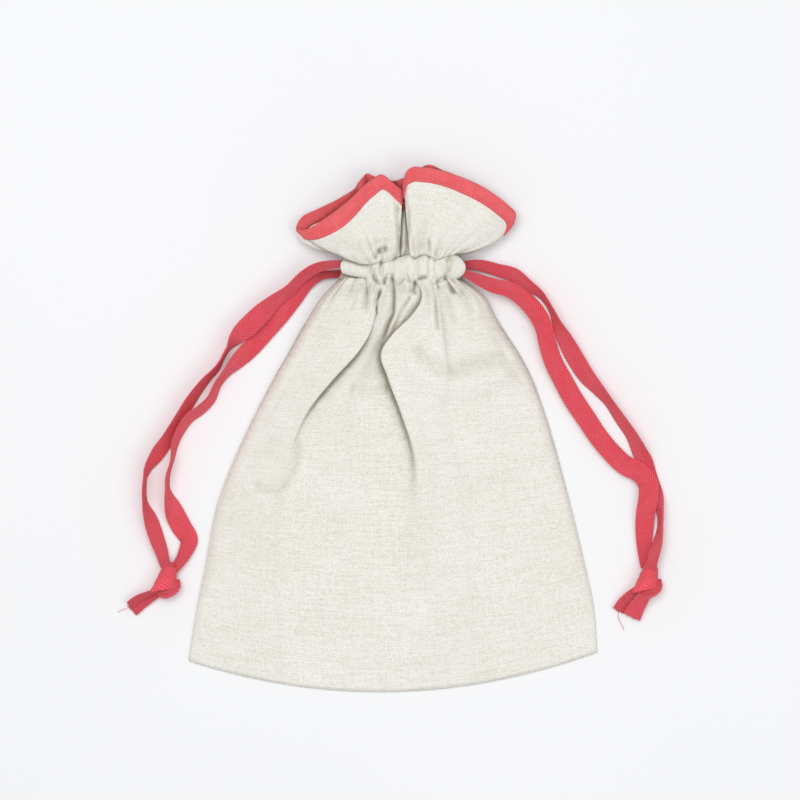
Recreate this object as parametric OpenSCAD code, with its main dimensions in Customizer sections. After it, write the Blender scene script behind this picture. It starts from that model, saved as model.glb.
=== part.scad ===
// Drawstring gift pouch lying on its back, with the neck drawn closed.
// Millimetres, +Z up, +Y towards the mouth. The origin is the middle of the pouch on the table.

/* [Pouch body] */
// Width across the hem
body_w = 204; // [170:1:250]
// Rise from the hem corners to the casing
body_rise = 188; // [150:1:230]
// How far the middle of the hem hangs below its corners
hem_bow = 17.5; // [6:0.5:24]
// How much higher the right hem corner lies than the left one
hem_skew = 4.5; // [0:0.5:8]
// Height of the slack front panel above the table
body_h = 10; // [8:0.5:16]
// Thickness of the linen
cloth_t = 1; // [0.6:0.1:1.2]

/* [Neck and casing] */
// Width of the gathered neck, which is the length of the casing
neck_w = 60; // [48:1:90]
// Sideways shift of the neck from the middle of the hem
neck_shift = 5; // [-10:1:10]
// Width of a casing strip, along the pouch
casing_w = 10.8; // [10:0.1:14]
// Height of a casing strip over the cloth it is sewn to
casing_h = 5.7; // [5.4:0.1:8]
// Thickness of the casing strip
casing_wall = 0.9; // [0.6:0.1:1]
// Height of the passage between the front and back cloth of the neck
neck_gap = 5; // [4.2:0.1:8]

/* [Ruffle and binding] */
// Rise from the casing to the highest point of the mouth
head_len = 45.7; // [36:0.1:56]
// Width across the two tips of the mouth
mouth_w = 107.5; // [86:0.5:130]
// Width of the ruffle where it leaves the casing
root_w = 52; // [40:1:60]
// Height of the open mouth's front edge above its side tips
mouth_rise = 9; // [6:0.5:14]
// Width of the binding on each face
binding_w = 7.3; // [5:0.1:9]
// Thickness of the binding on each face
binding_t = 0.6; // [0.4:0.1:0.8]

/* [Drawstrings] */
// Width of the twill tape
tape_w = 10; // [8:0.5:12]
// Thickness of the twill tape
tape_t = 1.2; // [0.8:0.1:1.4]
// Width of the tape where it is crumpled inside the casing
run_w = 3.6; // [3:0.1:3.8]
// Thickness of the tape where it is crumpled inside the casing
run_t = 1.8; // [1.2:0.1:2]
// Clear space between the two tapes inside one casing
run_gap = 0.5; // [0.3:0.1:0.8]
// How far a drawstring can be pulled out
pull_len = 10; // [4:1:12]
// Radius of a knot
knot_r = 5.2; // [4:0.1:6]

/* [Stitching] */
// Length of one stitch
stitch_len = 2.4; // [1.5:0.1:3]
// Distance from one stitch to the next
stitch_pitch = 3.6; // [3.2:0.1:6]
// Thickness of the thread
thread_d = 0.5; // [0.3:0.1:0.6]

/* [Hidden] */

linen = "#e8e7de";
coral = "#e2465a";
thread = "#d9d6c8";

// Levels along the pouch.
total_len = hem_bow + body_rise + casing_w + head_len;
hem_y = -total_len / 2;
corner_y = hem_y + hem_bow;
casing_y0 = corner_y + body_rise;
casing_y1 = casing_y0 + casing_w;
casing_y = (casing_y0 + casing_y1) / 2;
fold_y = casing_y1 + 1.2;
root_y = fold_y + 0.4;
neck_end_y = fold_y - 0.4;
part_gap = 0.3;

// Levels above the table: back strip, back cloth, passage, front cloth, front strip.
thread_h = 0.3;
back_strip_z = thread_h;
back_neck_z = back_strip_z + casing_h + cloth_t / 2;
front_neck_z = back_neck_z + cloth_t + neck_gap;
front_strip_z = front_neck_z + cloth_t / 2;
fold_z = front_strip_z + 0.3;
neck_mid_z = (back_neck_z + front_neck_z) / 2;

// The tape's two runs in the casing, joined by a half turn in a tilted plane.
run_dy = (run_w + run_gap + 0.4) / 2;
run_dz = front_strip_z + (casing_h - casing_wall) / 2 - neck_mid_z;
turn_r = norm([run_dy, run_dz]);
turn_tilt = atan2(run_dy, run_dz);
end_inset = 1.5;
turn_x = neck_w / 2 - end_inset - turn_r - run_t / 2;
cloth_reach = 2.5;
neck_cloth_w = 2 * (turn_x - pull_len + cloth_reach);

columns = 24;
body_rows = 16;
neck_rise_len = 26;

function smooth(a) = let (c = min(max(a, 0), 1)) c * c * (3 - 2 * c);
function mix(a, b, k) = a + (b - a) * k;
function bezier(a, b, c, d, k) = pow(1 - k, 3) * a + 3 * k * pow(1 - k, 2) * b + 3 * k * k * (1 - k) * c + pow(k, 3) * d;
function unit(v) = v / norm(v);
function arch(s) = sqrt(sin(180 * s));

// Side edges of the body, from the hem corner (k = 0) to the shoulder (k = 1), left or right.
shoulder_y = casing_y0 - part_gap;
function side_edge(side, k) = let (corner = corner_y + side * hem_skew / 2)
    bezier(
        [side * body_w / 2, corner],
        [side * (body_w / 2 - 8), mix(corner, shoulder_y, 0.36)],
        [side * (body_w / 2 - 26), mix(corner, shoulder_y, 0.71)],
        [neck_shift + side * neck_w / 2, shoulder_y],
        k);
function hem_drop(s, k) = (hem_bow) * 4 * s * (1 - s) * pow(1 - k, 2);
function body_plan(s, k) = let (p = mix(side_edge(-1, k), side_edge(1, k), s)) [p.x, p.y - hem_drop(s, k)];

function neck_lift(y) = smooth((y - (casing_y0 - neck_rise_len)) / neck_rise_len);
function back_z(y) = mix(cloth_t / 2, back_neck_z, neck_lift(y));
function front_z(s, k, y) = let (
    low = mix(1.5 * cloth_t, back_neck_z + cloth_t, neck_lift(y)),
    high = mix(mix(0.35, 1, smooth(k * 4)) * body_h, front_neck_z, neck_lift(y)))
    mix(low, high, arch(s));

// Rows of points for the body, then the narrow tongue of cloth under the casing.
tongue_y = [casing_y0 + part_gap, (casing_y0 + neck_end_y) / 2, neck_end_y];
function tongue_point(s, y, z) = [neck_shift + (s - 0.5) * neck_cloth_w, y, z];
front_rows = concat(
    [for (i = [0 : body_rows]) let (k = i / body_rows) [for (j = [0 : columns])
        let (s = j / columns, p = body_plan(s, k)) [p.x, p.y, front_z(s, k, p.y)]]],
    [for (y = tongue_y) [for (j = [0 : columns]) tongue_point(j / columns, y, front_neck_z)]]);
back_rows = concat(
    [for (i = [0 : body_rows]) let (k = i / body_rows) [for (j = [0 : columns])
        let (s = j / columns, p = body_plan(s, k)) [p.x, p.y, back_z(p.y)]]],
    [for (y = tongue_y) [for (j = [0 : columns]) tongue_point(j / columns, y, back_neck_z)]]);

// Mouth edge as [place across from -1 to 1, height from 0 to 1].
mouth_shift = neck_shift + 1.75;
front_edge = [[-1, 0.28], [-0.75, 0.41], [-0.54, 0.59], [-0.29, 0.85], [-0.2, 0.88], [-0.04, 0.74],
    [0.05, 0.96], [0.14, 0.97], [0.4, 0.91], [0.75, 0.74], [0.97, 0.53], [1, 0.42]];
back_edge = [[-1, 0.28], [-0.96, 0.45], [-0.75, 0.55], [-0.44, 0.78], [-0.36, 0.9], [-0.12, 0.85],
    [0.06, 0.93], [0.17, 1], [0.4, 0.91], [0.75, 0.75], [0.97, 0.53], [1, 0.42]];
ruffle_columns = 36;
ruffle_rows = 5;
tip_split = 2 * (cloth_t / 2 + binding_t) + part_gap;
side_z = mix(back_neck_z, front_neck_z, 0.45);
tip_z = 6;

// A ruffle line runs from its root (k = 0) at the neck to the mouth edge (k = 1).
function ruffle_root(s) = [neck_shift + 1 + root_w * (s - 0.5), root_y];
function ruffle_mouth(s, edge) = [mouth_shift + mouth_w * (s - 0.5), casing_y1 + head_len * lookup(2 * s - 1, edge)];
function ruffle_plan(s, k, edge) = let (
    a = ruffle_root(s),
    c = ruffle_mouth(s, edge),
    b = [mix(a.x, c.x, 0.6), mix(a.y, c.y, 0.5) - 6 * pow(2 * s - 1, 2)])
    pow(1 - k, 2) * a + 2 * k * (1 - k) * b + k * k * c;
function ruffle_z(s, k, face) = let (
    seam = mix(side_z, tip_z, k),
    middle = face > 0 ? mix(front_neck_z, tip_z + mouth_rise, k) : mix(back_neck_z, cloth_t / 2 + binding_t, k),
    split = min(tip_split / 2, abs(mix(front_neck_z, back_neck_z, face > 0 ? 0 : 1) - side_z)))
    mix(seam + face * split, middle, arch(s));
function ruffle_point(s, k, face, edge) = let (p = ruffle_plan(s, k, edge)) [p.x, p.y, ruffle_z(s, k, face)];
function ruffle_len(s, edge) = norm(ruffle_mouth(s, edge) - ruffle_root(s)) * 1.03;
function hem_k(s, edge, from_mouth) = 1 - from_mouth / ruffle_len(s, edge);
function ruffle_sheet(face, edge) = [for (i = [0 : ruffle_rows + 1]) [for (j = [0 : ruffle_columns])
    let (
        s = j / ruffle_columns,
        k = i <= ruffle_rows ? hem_k(s, edge, binding_w) * i / ruffle_rows : hem_k(s, edge, 1.4))
    ruffle_point(s, k, face, edge)]];

// Free strands: [outward from the casing's end, along +Y from the casing's middle, height, width, roll].
left_front_route = [
    [0, 2.2, 15.4, 3.6, 0], [6, 1.6, 13.5, 4.5, 0], [13.5, 0, 9.5, 5.5, 20], [20, -4, 6.4, 7, 38],
    [26, -10, 6, 9, 46], [35, -17, 5.6, 10, 34], [46.5, -28, 6.4, 10, 10], [53.5, -34.5, 5.8, 10, 48],
    [58, -41, 5.6, 10, 78], [62.5, -49, 5.4, 10, 66], [69, -56, 4.9, 10, 58], [75, -64, 4.8, 10, 56],
    [81, -74, 4.8, 10, 56], [87, -84, 4.5, 10, 50], [92.5, -92, 4.2, 10, 42], [97.5, -100, 5, 10, 62],
    [99, -109, 5.6, 10, 84], [98.5, -117.5, 5.4, 10, 70], [95.5, -126.5, 4.3, 9.5, 42],
    [92.5, -135.5, 4, 8.5, 32], [90, -142.5, 4.2, 6.5, 20], [88.5, -148.5, 4.6, 4.6, 0]];
left_back_route = [
    [0, -2.2, 3.6, 3.6, 0], [12, -3.8, 2.6, 4.5, 0], [17.5, -7.5, 1.8, 5.5, 0], [23.5, -14.5, 1.2, 7, 0],
    [30.5, -22, 0.9, 9, 0], [38, -30.5, 0.9, 9, 0], [45.5, -38.8, 1.4, 9, 8], [52, -45, 3, 9.5, 30],
    [58, -51.5, 4.4, 10, 56], [62.5, -57.5, 4.8, 10, 62], [66, -65, 4.8, 10, 62], [71, -70, 4.8, 10, 60],
    [77, -74.5, 4.8, 10, 60], [80.5, -79.5, 4.8, 10, 60], [83.5, -86, 4.8, 10, 62], [85, -95, 5.2, 10, 72],
    [87.5, -105, 5.6, 10, 82], [87, -113, 5, 10, 64], [84, -122, 2.4, 10, 20], [80.5, -129, 0.9, 10, 0],
    [77, -135, 0.9, 9, 0], [79, -142, 1.6, 7, -12], [85, -151, 3.6, 4.6, -16]];
right_front_route = [
    [0, -2.2, 15.4, 3.6, 0], [6, -5, 12.6, 5.5, 0], [15, -8.5, 9, 7.5, -10], [23, -10.5, 7, 8.5, -18],
    [30, -15, 5.4, 9.5, -24], [36, -21.5, 4.6, 10, -26], [40, -29, 4.2, 10, -24], [42, -37.5, 3.8, 10, -20],
    [45, -46.5, 3.4, 10, -16], [50, -56, 3, 10, -12], [55, -65, 2.8, 10, -10], [62, -75.5, 2.6, 10, -8],
    [67, -83, 2.4, 10, -8], [74, -91.5, 2.4, 10, -8], [81, -98, 2.8, 10, -8], [88, -101.5, 3.6, 10, -4],
    [92, -106.5, 3.8, 10, 0], [92.5, -113.5, 3.6, 10, 0], [91, -121.5, 3, 9.5, 0], [90.5, -130, 1.8, 9, 0],
    [90.5, -138.5, 1.8, 7.5, 0], [91, -149, 3, 5, 0]];
right_back_route = [
    [0, 2.2, 3.6, 3.6, 0], [7.5, 2, 3, 5.5, 0], [17.5, -0.5, 2, 6.5, 10], [25.5, -3, 2.6, 8, 28],
    [31.5, -7.5, 4, 9, 48], [38.5, -12.4, 5.4, 10, 72], [43.5, -19.5, 5.7, 10, 82], [47.2, -27.5, 5.4, 10, 70],
    [50.5, -34.2, 4.4, 10, 46], [55.5, -43.5, 3.2, 10, 28], [61.5, -53, 3.6, 10, 34], [67.5, -60, 4.6, 10, 56],
    [72.5, -66, 5.2, 10, 70], [79, -75.5, 5, 10, 64], [84.5, -83.5, 4.6, 10, 56], [88, -90.5, 3.2, 9, 34],
    [91, -96.5, 1.4, 8, 8], [93.5, -103.5, 0.9, 7, 0], [96.6, -112, 1.7, 6.5, 16], [98.2, -120, 3.6, 7, 66],
    [98.4, -127, 4.2, 7, 76], [97.2, -135, 5.6, 7, 58], [95, -142, 6.8, 6, 28], [93.5, -149.5, 7, 4.4, 10]];

// Tails past the knot, in the same five numbers.
left_front_tail_route = [[90, -161, 3.4, 5, 0], [95, -163.5, 2.4, 7, 6], [100.5, -167, 1.6, 9, 6], [105, -170.5, 1.4, 10, 4]];
left_back_tail_route = [[92, -159.5, 6.2, 5, 0], [97, -162, 4.8, 7, 10], [102.5, -164.5, 3.6, 8.5, 8], [106.5, -167.5, 3, 9, 6]];
right_front_tail_route = [[91.5, -161.5, 6.2, 5, 0], [89, -165, 5, 7, -8], [86, -169.5, 3.6, 9, -8], [84, -173.5, 3, 10, -6]];
right_back_tail_route = [[86.5, -160, 3.4, 5, 0], [83, -163, 2.4, 6, -6], [79.5, -167, 1.6, 7, -6], [77.5, -170.5, 1.4, 7.5, -6]];
left_knot_at = [88.4, -155, 5.4];
right_knot_at = [91.5, -155, 5.6];

// Faces of a closed tube made of rings of points.
function tube_sides(rings, sides) = [for (i = [0 : rings - 2], j = [0 : sides - 1], half = [0, 1])
    let (a = i * sides + j, b = i * sides + (j + 1) % sides)
    half == 0 ? [a, b, b + sides] : [a, b + sides, a + sides]];
function turned(faces) = [for (f = faces) [for (i = [len(f) - 1 : -1 : 0]) f[i]]];

// A tape swept along a route, with a flat eight-sided section.
function side_place(side, p) = [neck_shift + side * (neck_w / 2 + p[0]), casing_y + p[1], p[2]];
function tape_ring(at, along, w, roll) = let (
    flat = unit(cross([0, 0, 1], along)),
    up = cross(along, flat),
    across = flat * cos(roll) + up * sin(roll),
    normal = up * cos(roll) - flat * sin(roll),
    half_w = w / 2,
    half_t = tape_t / 2)
    [for (q = [[1, 0.5], [0.9, 1], [-0.9, 1], [-1, 0.5], [-1, -0.5], [-0.9, -1], [0.9, -1], [1, -0.5]])
        at + across * q[0] * half_w + normal * q[1] * half_t];
module tape(side, route) {
    last = len(route) - 1;
    at = [for (p = route) side_place(side, p)];
    rings = [for (i = [0 : last])
        tape_ring(at[i], unit(at[min(i + 1, last)] - at[max(i - 1, 0)]), route[i][3] * tape_w / 10, side * route[i][4])];
    points = [for (ring = rings, p = ring) p];
    caps = [[for (j = [0 : 7]) 7 - j], [for (j = [0 : 7]) last * 8 + j]];
    polyhedron(points, turned(concat(tube_sides(last + 1, 8), caps)));
}

// A sheet of cloth: rows of points with a thickness up and down.
module sheet(rows, thickness) {
    n = len(rows[0]);
    lift = [0, 0, thickness / 2];
    points = [for (row = rows) each concat([for (p = row) p + lift], [for (j = [n - 1 : -1 : 0]) row[j] - lift])];
    end = (len(rows) - 1) * 2 * n;
    caps = [for (j = [0 : n - 2], half = [0, 1])
        let (a = j, b = j + 1, c = 2 * n - 2 - j, d = 2 * n - 1 - j) half == 0 ? [a, c, b] : [a, d, c]];
    far_caps = [for (f = caps) [end + f[0], end + f[2], end + f[1]]];
    polyhedron(points, turned(concat(tube_sides(len(rows), 2 * n), caps, far_caps)));
}

// A binding strip folded round the mouth edge, with a slot for the cloth.
module binding(face, edge) {
    outer = cloth_t / 2 + binding_t;
    inner = cloth_t / 2 + 0.1;
    rings = [for (j = [0 : ruffle_columns]) let (
        s = j / ruffle_columns,
        low = ruffle_point(s, hem_k(s, edge, binding_w), face, edge),
        slot = ruffle_point(s, hem_k(s, edge, binding_t + 0.5), face, edge),
        top = ruffle_point(s, 1, face, edge))
        [low + [0, 0, outer], top + [0, 0, outer], top - [0, 0, outer], low - [0, 0, outer],
            low - [0, 0, inner], slot - [0, 0, inner], slot + [0, 0, inner], low + [0, 0, inner]]];
    points = [for (ring = rings, p = ring) p];
    end = ruffle_columns * 8;
    cap = [[0, 6, 1], [0, 7, 6], [1, 5, 2], [1, 6, 5], [2, 4, 3], [2, 5, 4]];
    far_cap = [for (f = cap) [end + f[0], end + f[2], end + f[1]]];
    polyhedron(points, concat(tube_sides(ruffle_columns + 1, 8), cap, far_cap));
}

// One stitch, lying along +X with its middle at the origin.
module stitch(height) {
    translate([-stitch_len / 2, -thread_d / 2, 0])
        cube([stitch_len, thread_d, height]);
}

// A row of stitches along the casing at one place across it.
module casing_stitches(y, z) {
    count = floor((neck_w - 2) / stitch_pitch);
    for (i = [0 : count - 1])
        translate([neck_shift + (i - (count - 1) / 2) * stitch_pitch, y, z])
            stitch(thread_h);
}

// A casing strip: a channel whose walls stand on the neck cloth, with rounded outer corners.
module casing_profile() {
    round_r = 1.8;
    difference() {
        union() {
            translate([-casing_w / 2, 0])
                square([casing_w, casing_h - round_r]);
            translate([-casing_w / 2 + round_r, 0])
                square([casing_w - 2 * round_r, casing_h]);
            for (side = [-1, 1])
                translate([side * (casing_w / 2 - round_r), casing_h - round_r])
                    circle(round_r, $fn = 32);
        }
        translate([-casing_w / 2 + casing_wall, -1])
            square([casing_w - 2 * casing_wall, casing_h - casing_wall + 1]);
    }
}
module casing_strip() {
    translate([neck_shift - neck_w / 2, casing_y, 0])
        rotate([90, 0, 90])
            linear_extrude(neck_w)
                casing_profile();
}

// The stretch of tape inside the casing: two runs and the half turn at the far side.
module tape_run(side) {
    exit_x = neck_shift + side * neck_w / 2;
    bend_x = neck_shift - side * turn_x;
    translate([0, casing_y, neck_mid_z])
        rotate([side * turn_tilt, 0, 0]) {
            for (face = [-1, 1])
                translate([min(exit_x, bend_x), -run_w / 2, face * turn_r - run_t / 2])
                    cube([abs(exit_x - bend_x), run_w, run_t]);
            translate([bend_x, 0, 0])
                rotate([90, -side * 90, 0])
                    rotate_extrude(angle = 180, $fn = 48)
                        translate([turn_r - run_t / 2, -run_w / 2])
                            square([run_t, run_w]);
        }
}

// A row of stitches along a side edge of the body, through both layers.
seam_h = 2 * cloth_t + 0.6;
seam_inset = 1.6;
module side_seam(side) {
    count = floor((body_rise - neck_rise_len) / stitch_pitch / 1.12);
    for (i = [1 : count]) {
        k = i / count * 0.8;
        at = side_edge(side, k);
        ahead = side_edge(side, k + 0.01);
        translate([at.x - side * seam_inset, at.y, 0.2])
            rotate([0, 0, atan2(ahead.y - at.y, ahead.x - at.x)])
                stitch(seam_h);
    }
}

// Stitches up the side of the ruffle, joining its front and back.
module ruffle_seam(s) {
    for (k = [0.2 : 0.12 : 0.7]) {
        low = ruffle_point(s, k, -1, back_edge);
        high = ruffle_point(s, k, 1, front_edge);
        translate([mix(low.x, high.x, 0.5) - thread_d / 2, mix(low.y, high.y, 0.5) - thread_d / 2, low.z - cloth_t / 2])
            cube([thread_d, thread_d, high.z - low.z + cloth_t]);
    }
}

// A soft overhand knot.
module knot(side, at) {
    place = side_place(side, at);
    hull() {
        translate(place + [0, 2.4, 0])
            sphere(knot_r * 0.82, $fn = 24);
        translate(place + [side * 1.2, -2, 0])
            sphere(knot_r * 0.9, $fn = 24);
        translate(place + [-side * 1.4, -0.4, -0.6])
            sphere(knot_r * 0.8, $fn = 24);
    }
}

module front_panel() { color(linen) sheet(front_rows, cloth_t); }
module back_panel() { color(linen) sheet(back_rows, cloth_t); }
module front_casing() { color(linen) translate([0, 0, front_strip_z]) casing_strip(); }
module back_casing() {
    color(linen)
        translate([0, 0, back_strip_z + casing_h])
            mirror([0, 0, 1])
                casing_strip();
}
module left_side_seam() { color(thread) side_seam(-1); }
module right_side_seam() { color(thread) side_seam(1); }
module bottom_seam() {
    count = floor((body_w - 6) / stitch_pitch);
    color(thread)
        for (i = [1 : count - 1]) {
            at = body_plan(i / count, 0.01);
            ahead = body_plan(i / count + 0.005, 0.01);
            translate([at.x, at.y + 0.6, 0.2])
                rotate([0, 0, atan2(ahead.y - at.y, ahead.x - at.x)])
                    stitch(seam_h);
        }
}

stitch_row_dy = casing_w / 2 - 1.9;
front_thread_z = front_strip_z + casing_h;
module front_casing_upper_stitching() { color(thread) casing_stitches(casing_y + stitch_row_dy, front_thread_z); }
module front_casing_lower_stitching() { color(thread) casing_stitches(casing_y - stitch_row_dy, front_thread_z); }
module back_casing_upper_stitching() { color(thread) casing_stitches(casing_y + stitch_row_dy, 0); }
module back_casing_lower_stitching() { color(thread) casing_stitches(casing_y - stitch_row_dy, 0); }

module front_ruffle() { color(linen) sheet(ruffle_sheet(1, front_edge), cloth_t); }
module back_ruffle() { color(linen) sheet(ruffle_sheet(-1, back_edge), cloth_t); }
module front_binding() { color(coral) binding(1, front_edge); }
module back_binding() { color(coral) binding(-1, back_edge); }
module binding_stitching() {
    count = floor(mouth_w / stitch_pitch);
    rise = cloth_t / 2 + binding_t - 0.2;
    color(coral)
        for (i = [1 : count - 1]) {
            s = i / count;
            at = ruffle_point(s, hem_k(s, front_edge, binding_w - 2), 1, front_edge);
            ahead = ruffle_point(s + 0.01, hem_k(s + 0.01, front_edge, binding_w - 2), 1, front_edge);
            translate([at.x, at.y, at.z + rise])
                rotate([0, 0, atan2(ahead.y - at.y, ahead.x - at.x)])
                    stitch(thread_h + 0.2);
        }
}
module left_ruffle_seam() { color(thread) ruffle_seam(0.02); }
module right_ruffle_seam() { color(thread) ruffle_seam(0.98); }

module left_tape_run() { color(coral) tape_run(-1); }
module left_front_strand() { color(coral) tape(-1, left_front_route); }
module left_back_strand() { color(coral) tape(-1, left_back_route); }
module left_knot() { color(coral) knot(-1, left_knot_at); }
module left_front_tail() { color(coral) tape(-1, left_front_tail_route); }
module left_back_tail() { color(coral) tape(-1, left_back_tail_route); }
module right_tape_run() { color(coral) tape_run(1); }
module right_front_strand() { color(coral) tape(1, right_front_route); }
module right_back_strand() { color(coral) tape(1, right_back_route); }
module right_knot() { color(coral) knot(1, right_knot_at); }
module right_front_tail() { color(coral) tape(1, right_front_tail_route); }
module right_back_tail() { color(coral) tape(1, right_back_tail_route); }

front_panel();
back_panel();
front_casing();
back_casing();
left_side_seam();
right_side_seam();
bottom_seam();
front_casing_upper_stitching();
front_casing_lower_stitching();
back_casing_upper_stitching();
back_casing_lower_stitching();
front_ruffle();
back_ruffle();
front_binding();
back_binding();
binding_stitching();
left_ruffle_seam();
right_ruffle_seam();
left_tape_run();
left_front_strand();
left_back_strand();
left_knot();
left_front_tail();
left_back_tail();
right_tape_run();
right_front_strand();
right_back_strand();
right_knot();
right_front_tail();
right_back_tail();
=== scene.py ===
import math
import random

import bpy
import numpy as np
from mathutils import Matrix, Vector


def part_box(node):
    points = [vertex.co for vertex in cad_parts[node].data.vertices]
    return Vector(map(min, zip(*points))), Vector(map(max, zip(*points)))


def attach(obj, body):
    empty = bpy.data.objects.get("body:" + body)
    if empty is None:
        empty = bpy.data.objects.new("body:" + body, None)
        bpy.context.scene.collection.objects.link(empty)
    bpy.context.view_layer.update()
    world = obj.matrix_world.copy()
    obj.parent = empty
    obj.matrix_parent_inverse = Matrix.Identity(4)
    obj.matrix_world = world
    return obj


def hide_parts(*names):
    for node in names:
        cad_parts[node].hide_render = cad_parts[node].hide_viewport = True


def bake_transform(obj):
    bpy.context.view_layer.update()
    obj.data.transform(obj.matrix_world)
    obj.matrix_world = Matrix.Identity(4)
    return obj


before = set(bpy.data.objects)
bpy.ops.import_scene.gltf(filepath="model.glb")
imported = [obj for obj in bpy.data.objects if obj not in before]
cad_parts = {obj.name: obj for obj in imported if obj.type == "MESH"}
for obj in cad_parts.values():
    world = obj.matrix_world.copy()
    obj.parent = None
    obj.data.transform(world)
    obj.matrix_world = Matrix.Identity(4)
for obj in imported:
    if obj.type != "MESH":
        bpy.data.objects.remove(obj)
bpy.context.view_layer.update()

# Linen drawstring pouch, seen from straight above. Everything is drawn in millimetres and made metres at the end.
mm = 0.001


def deselect():
    for item in bpy.context.selected_objects:
        item.select_set(False)


deselect()
print("stage: frame loaded")

# Camera, floor and light.
viewSetup = {
    "centre": (3.5, 14.6),     # middle of the picture on the table
    "width": 400,              # how much table the picture shows
    "cameraHeight": 1400,
    "sensor": 36,
    "floorSize": 3.0,
}


def addCamera(setup):
    data = bpy.data.cameras.new("overheadCamera")
    camera = bpy.data.objects.new("overheadCamera", data)
    bpy.context.scene.collection.objects.link(camera)
    camera.location = (setup["centre"][0] * mm, setup["centre"][1] * mm, setup["cameraHeight"] * mm)
    data.sensor_width = setup["sensor"]
    data.lens = setup["sensor"] * setup["cameraHeight"] / setup["width"]
    data.clip_start = 0.05
    data.clip_end = 20
    bpy.context.scene.camera = camera


addCamera(viewSetup)


# Small helpers.
def smooth(a):
    c = np.clip(a, 0, 1)
    return c * c * (3 - 2 * c)


def mix(a, b, k):
    return a + (b - a) * k


def through(knots, values, at):
    # smooth curve through given values
    knots = np.asarray(knots, float)
    values = np.asarray(values, float)
    at = np.asarray(at, float)
    slopes = np.gradient(values, knots, axis=0)
    i = np.clip(np.searchsorted(knots, at, side="right") - 1, 0, len(knots) - 2)
    step = knots[i + 1] - knots[i]
    t = np.clip((at - knots[i]) / step, 0, 1)
    if values.ndim > 1:
        t, step = t[:, None], step[:, None]
    a, b = values[i], values[i + 1]
    return ((2 * t**3 - 3 * t**2 + 1) * a + (t**3 - 2 * t**2 + t) * step * slopes[i]
            + (-2 * t**3 + 3 * t**2) * b + (t**3 - t**2) * step * slopes[i + 1])


def activate(piece):
    deselect()
    piece.select_set(True)
    bpy.context.view_layer.objects.active = piece


def faceOutwards(piece, weld=0):
    # weld joins points that are this close, in millimetres
    activate(piece)
    bpy.ops.object.mode_set(mode="EDIT")
    bpy.ops.mesh.select_all(action="SELECT")
    if weld:
        bpy.ops.mesh.remove_doubles(threshold=weld * mm)
    bpy.ops.mesh.normals_make_consistent(inside=False)
    bpy.ops.object.mode_set(mode="OBJECT")


def runAlong(line):
    # how far along a line each of its points is
    return np.concatenate([[0], np.cumsum(np.linalg.norm(np.diff(line, axis=0), axis=1))])


def wholeTurn(count):
    return np.linspace(0, 2 * math.pi, count, endpoint=False)


def unit(vectors):
    return vectors / np.linalg.norm(vectors, axis=-1, keepdims=True)


def meshFrom(name, points, faces, faceUvs, material):
    mesh = bpy.data.meshes.new(name)
    mesh.from_pydata([tuple(p) for p in (np.asarray(points) * mm)], [], faces)
    layer = mesh.uv_layers.new(name="clothUv")
    layer.data.foreach_set("uv", np.asarray(faceUvs, np.float32).ravel())
    mesh.polygons.foreach_set("use_smooth", [True] * len(mesh.polygons))
    mesh.materials.append(material)
    mesh.update()
    piece = bpy.data.objects.new(name, mesh)
    bpy.context.scene.collection.objects.link(piece)
    return piece


def gridPiece(name, points, uv, material, closedAcross=False, facingDown=False):
    # points is rows x columns x 3, uv is rows x columns x 2, both in millimetres
    rows, columns = points.shape[:2]
    faces, uvs = [], []
    flat = uv.reshape(-1, 2)
    last = columns if closedAcross else columns - 1
    for i in range(rows - 1):
        for j in range(last):
            k = (j + 1) % columns
            face = [i * columns + j, i * columns + k, (i + 1) * columns + k, (i + 1) * columns + j]
            corners = [flat[n].copy() for n in face]
            if closedAcross and k == 0:
                wrap = uv[0, -1, 0] + (uv[0, -1, 0] - uv[0, -2, 0])
                corners[1][0] = wrap
                corners[2][0] = wrap
            if facingDown:
                face.reverse()
                corners.reverse()
            faces.append(face)
            uvs.extend(corners)
    return meshFrom(name, points.reshape(-1, 3), faces, uvs, material)


def thicken(piece, thickness):
    solid = piece.modifiers.new("thickness", "SOLIDIFY")
    solid.thickness = thickness * mm
    solid.offset = -1
    solid.use_even_offset = False
    solid.use_rim = True
    activate(piece)
    bpy.ops.object.modifier_apply(modifier=solid.name)


# Finishes.
def startMaterial(name):
    material = bpy.data.materials.new(name)
    material.use_nodes = True
    tree = material.node_tree
    tree.nodes.clear()
    output = tree.nodes.new("ShaderNodeOutputMaterial")
    shader = tree.nodes.new("ShaderNodeBsdfPrincipled")
    tree.links.new(shader.outputs["BSDF"], output.inputs["Surface"])
    return material, tree, shader


def mathNode(tree, operation, a, b=None):
    node = tree.nodes.new("ShaderNodeMath")
    node.operation = operation
    for place, value in ((0, a), (1, b)):
        if value is None:
            continue
        if isinstance(value, (int, float)):
            node.inputs[place].default_value = value
        else:
            tree.links.new(value, node.inputs[place])
    return node.outputs[0]


def noiseNode(tree, x, y, scaleX, scaleY, detail=2.0, roughness=0.5, seed=0.0):
    join = tree.nodes.new("ShaderNodeCombineXYZ")
    tree.links.new(mathNode(tree, "MULTIPLY", x, scaleX), join.inputs[0])
    tree.links.new(mathNode(tree, "MULTIPLY", y, scaleY), join.inputs[1])
    join.inputs[2].default_value = seed
    noise = tree.nodes.new("ShaderNodeTexNoise")
    noise.inputs["Scale"].default_value = 1.0
    noise.inputs["Detail"].default_value = detail
    noise.inputs["Roughness"].default_value = roughness
    tree.links.new(join.outputs[0], noise.inputs["Vector"])
    return noise.outputs[0]


def rampNode(tree, value, stops):
    ramp = tree.nodes.new("ShaderNodeValToRGB")
    elements = ramp.color_ramp.elements
    while len(elements) < len(stops):
        elements.new(0.5)
    for element, (place, colour) in zip(elements, stops):
        element.position = place
        element.color = (*colour, 1) if len(colour) == 3 else colour
    tree.links.new(value, ramp.inputs[0])
    return ramp.outputs[0]


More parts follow.
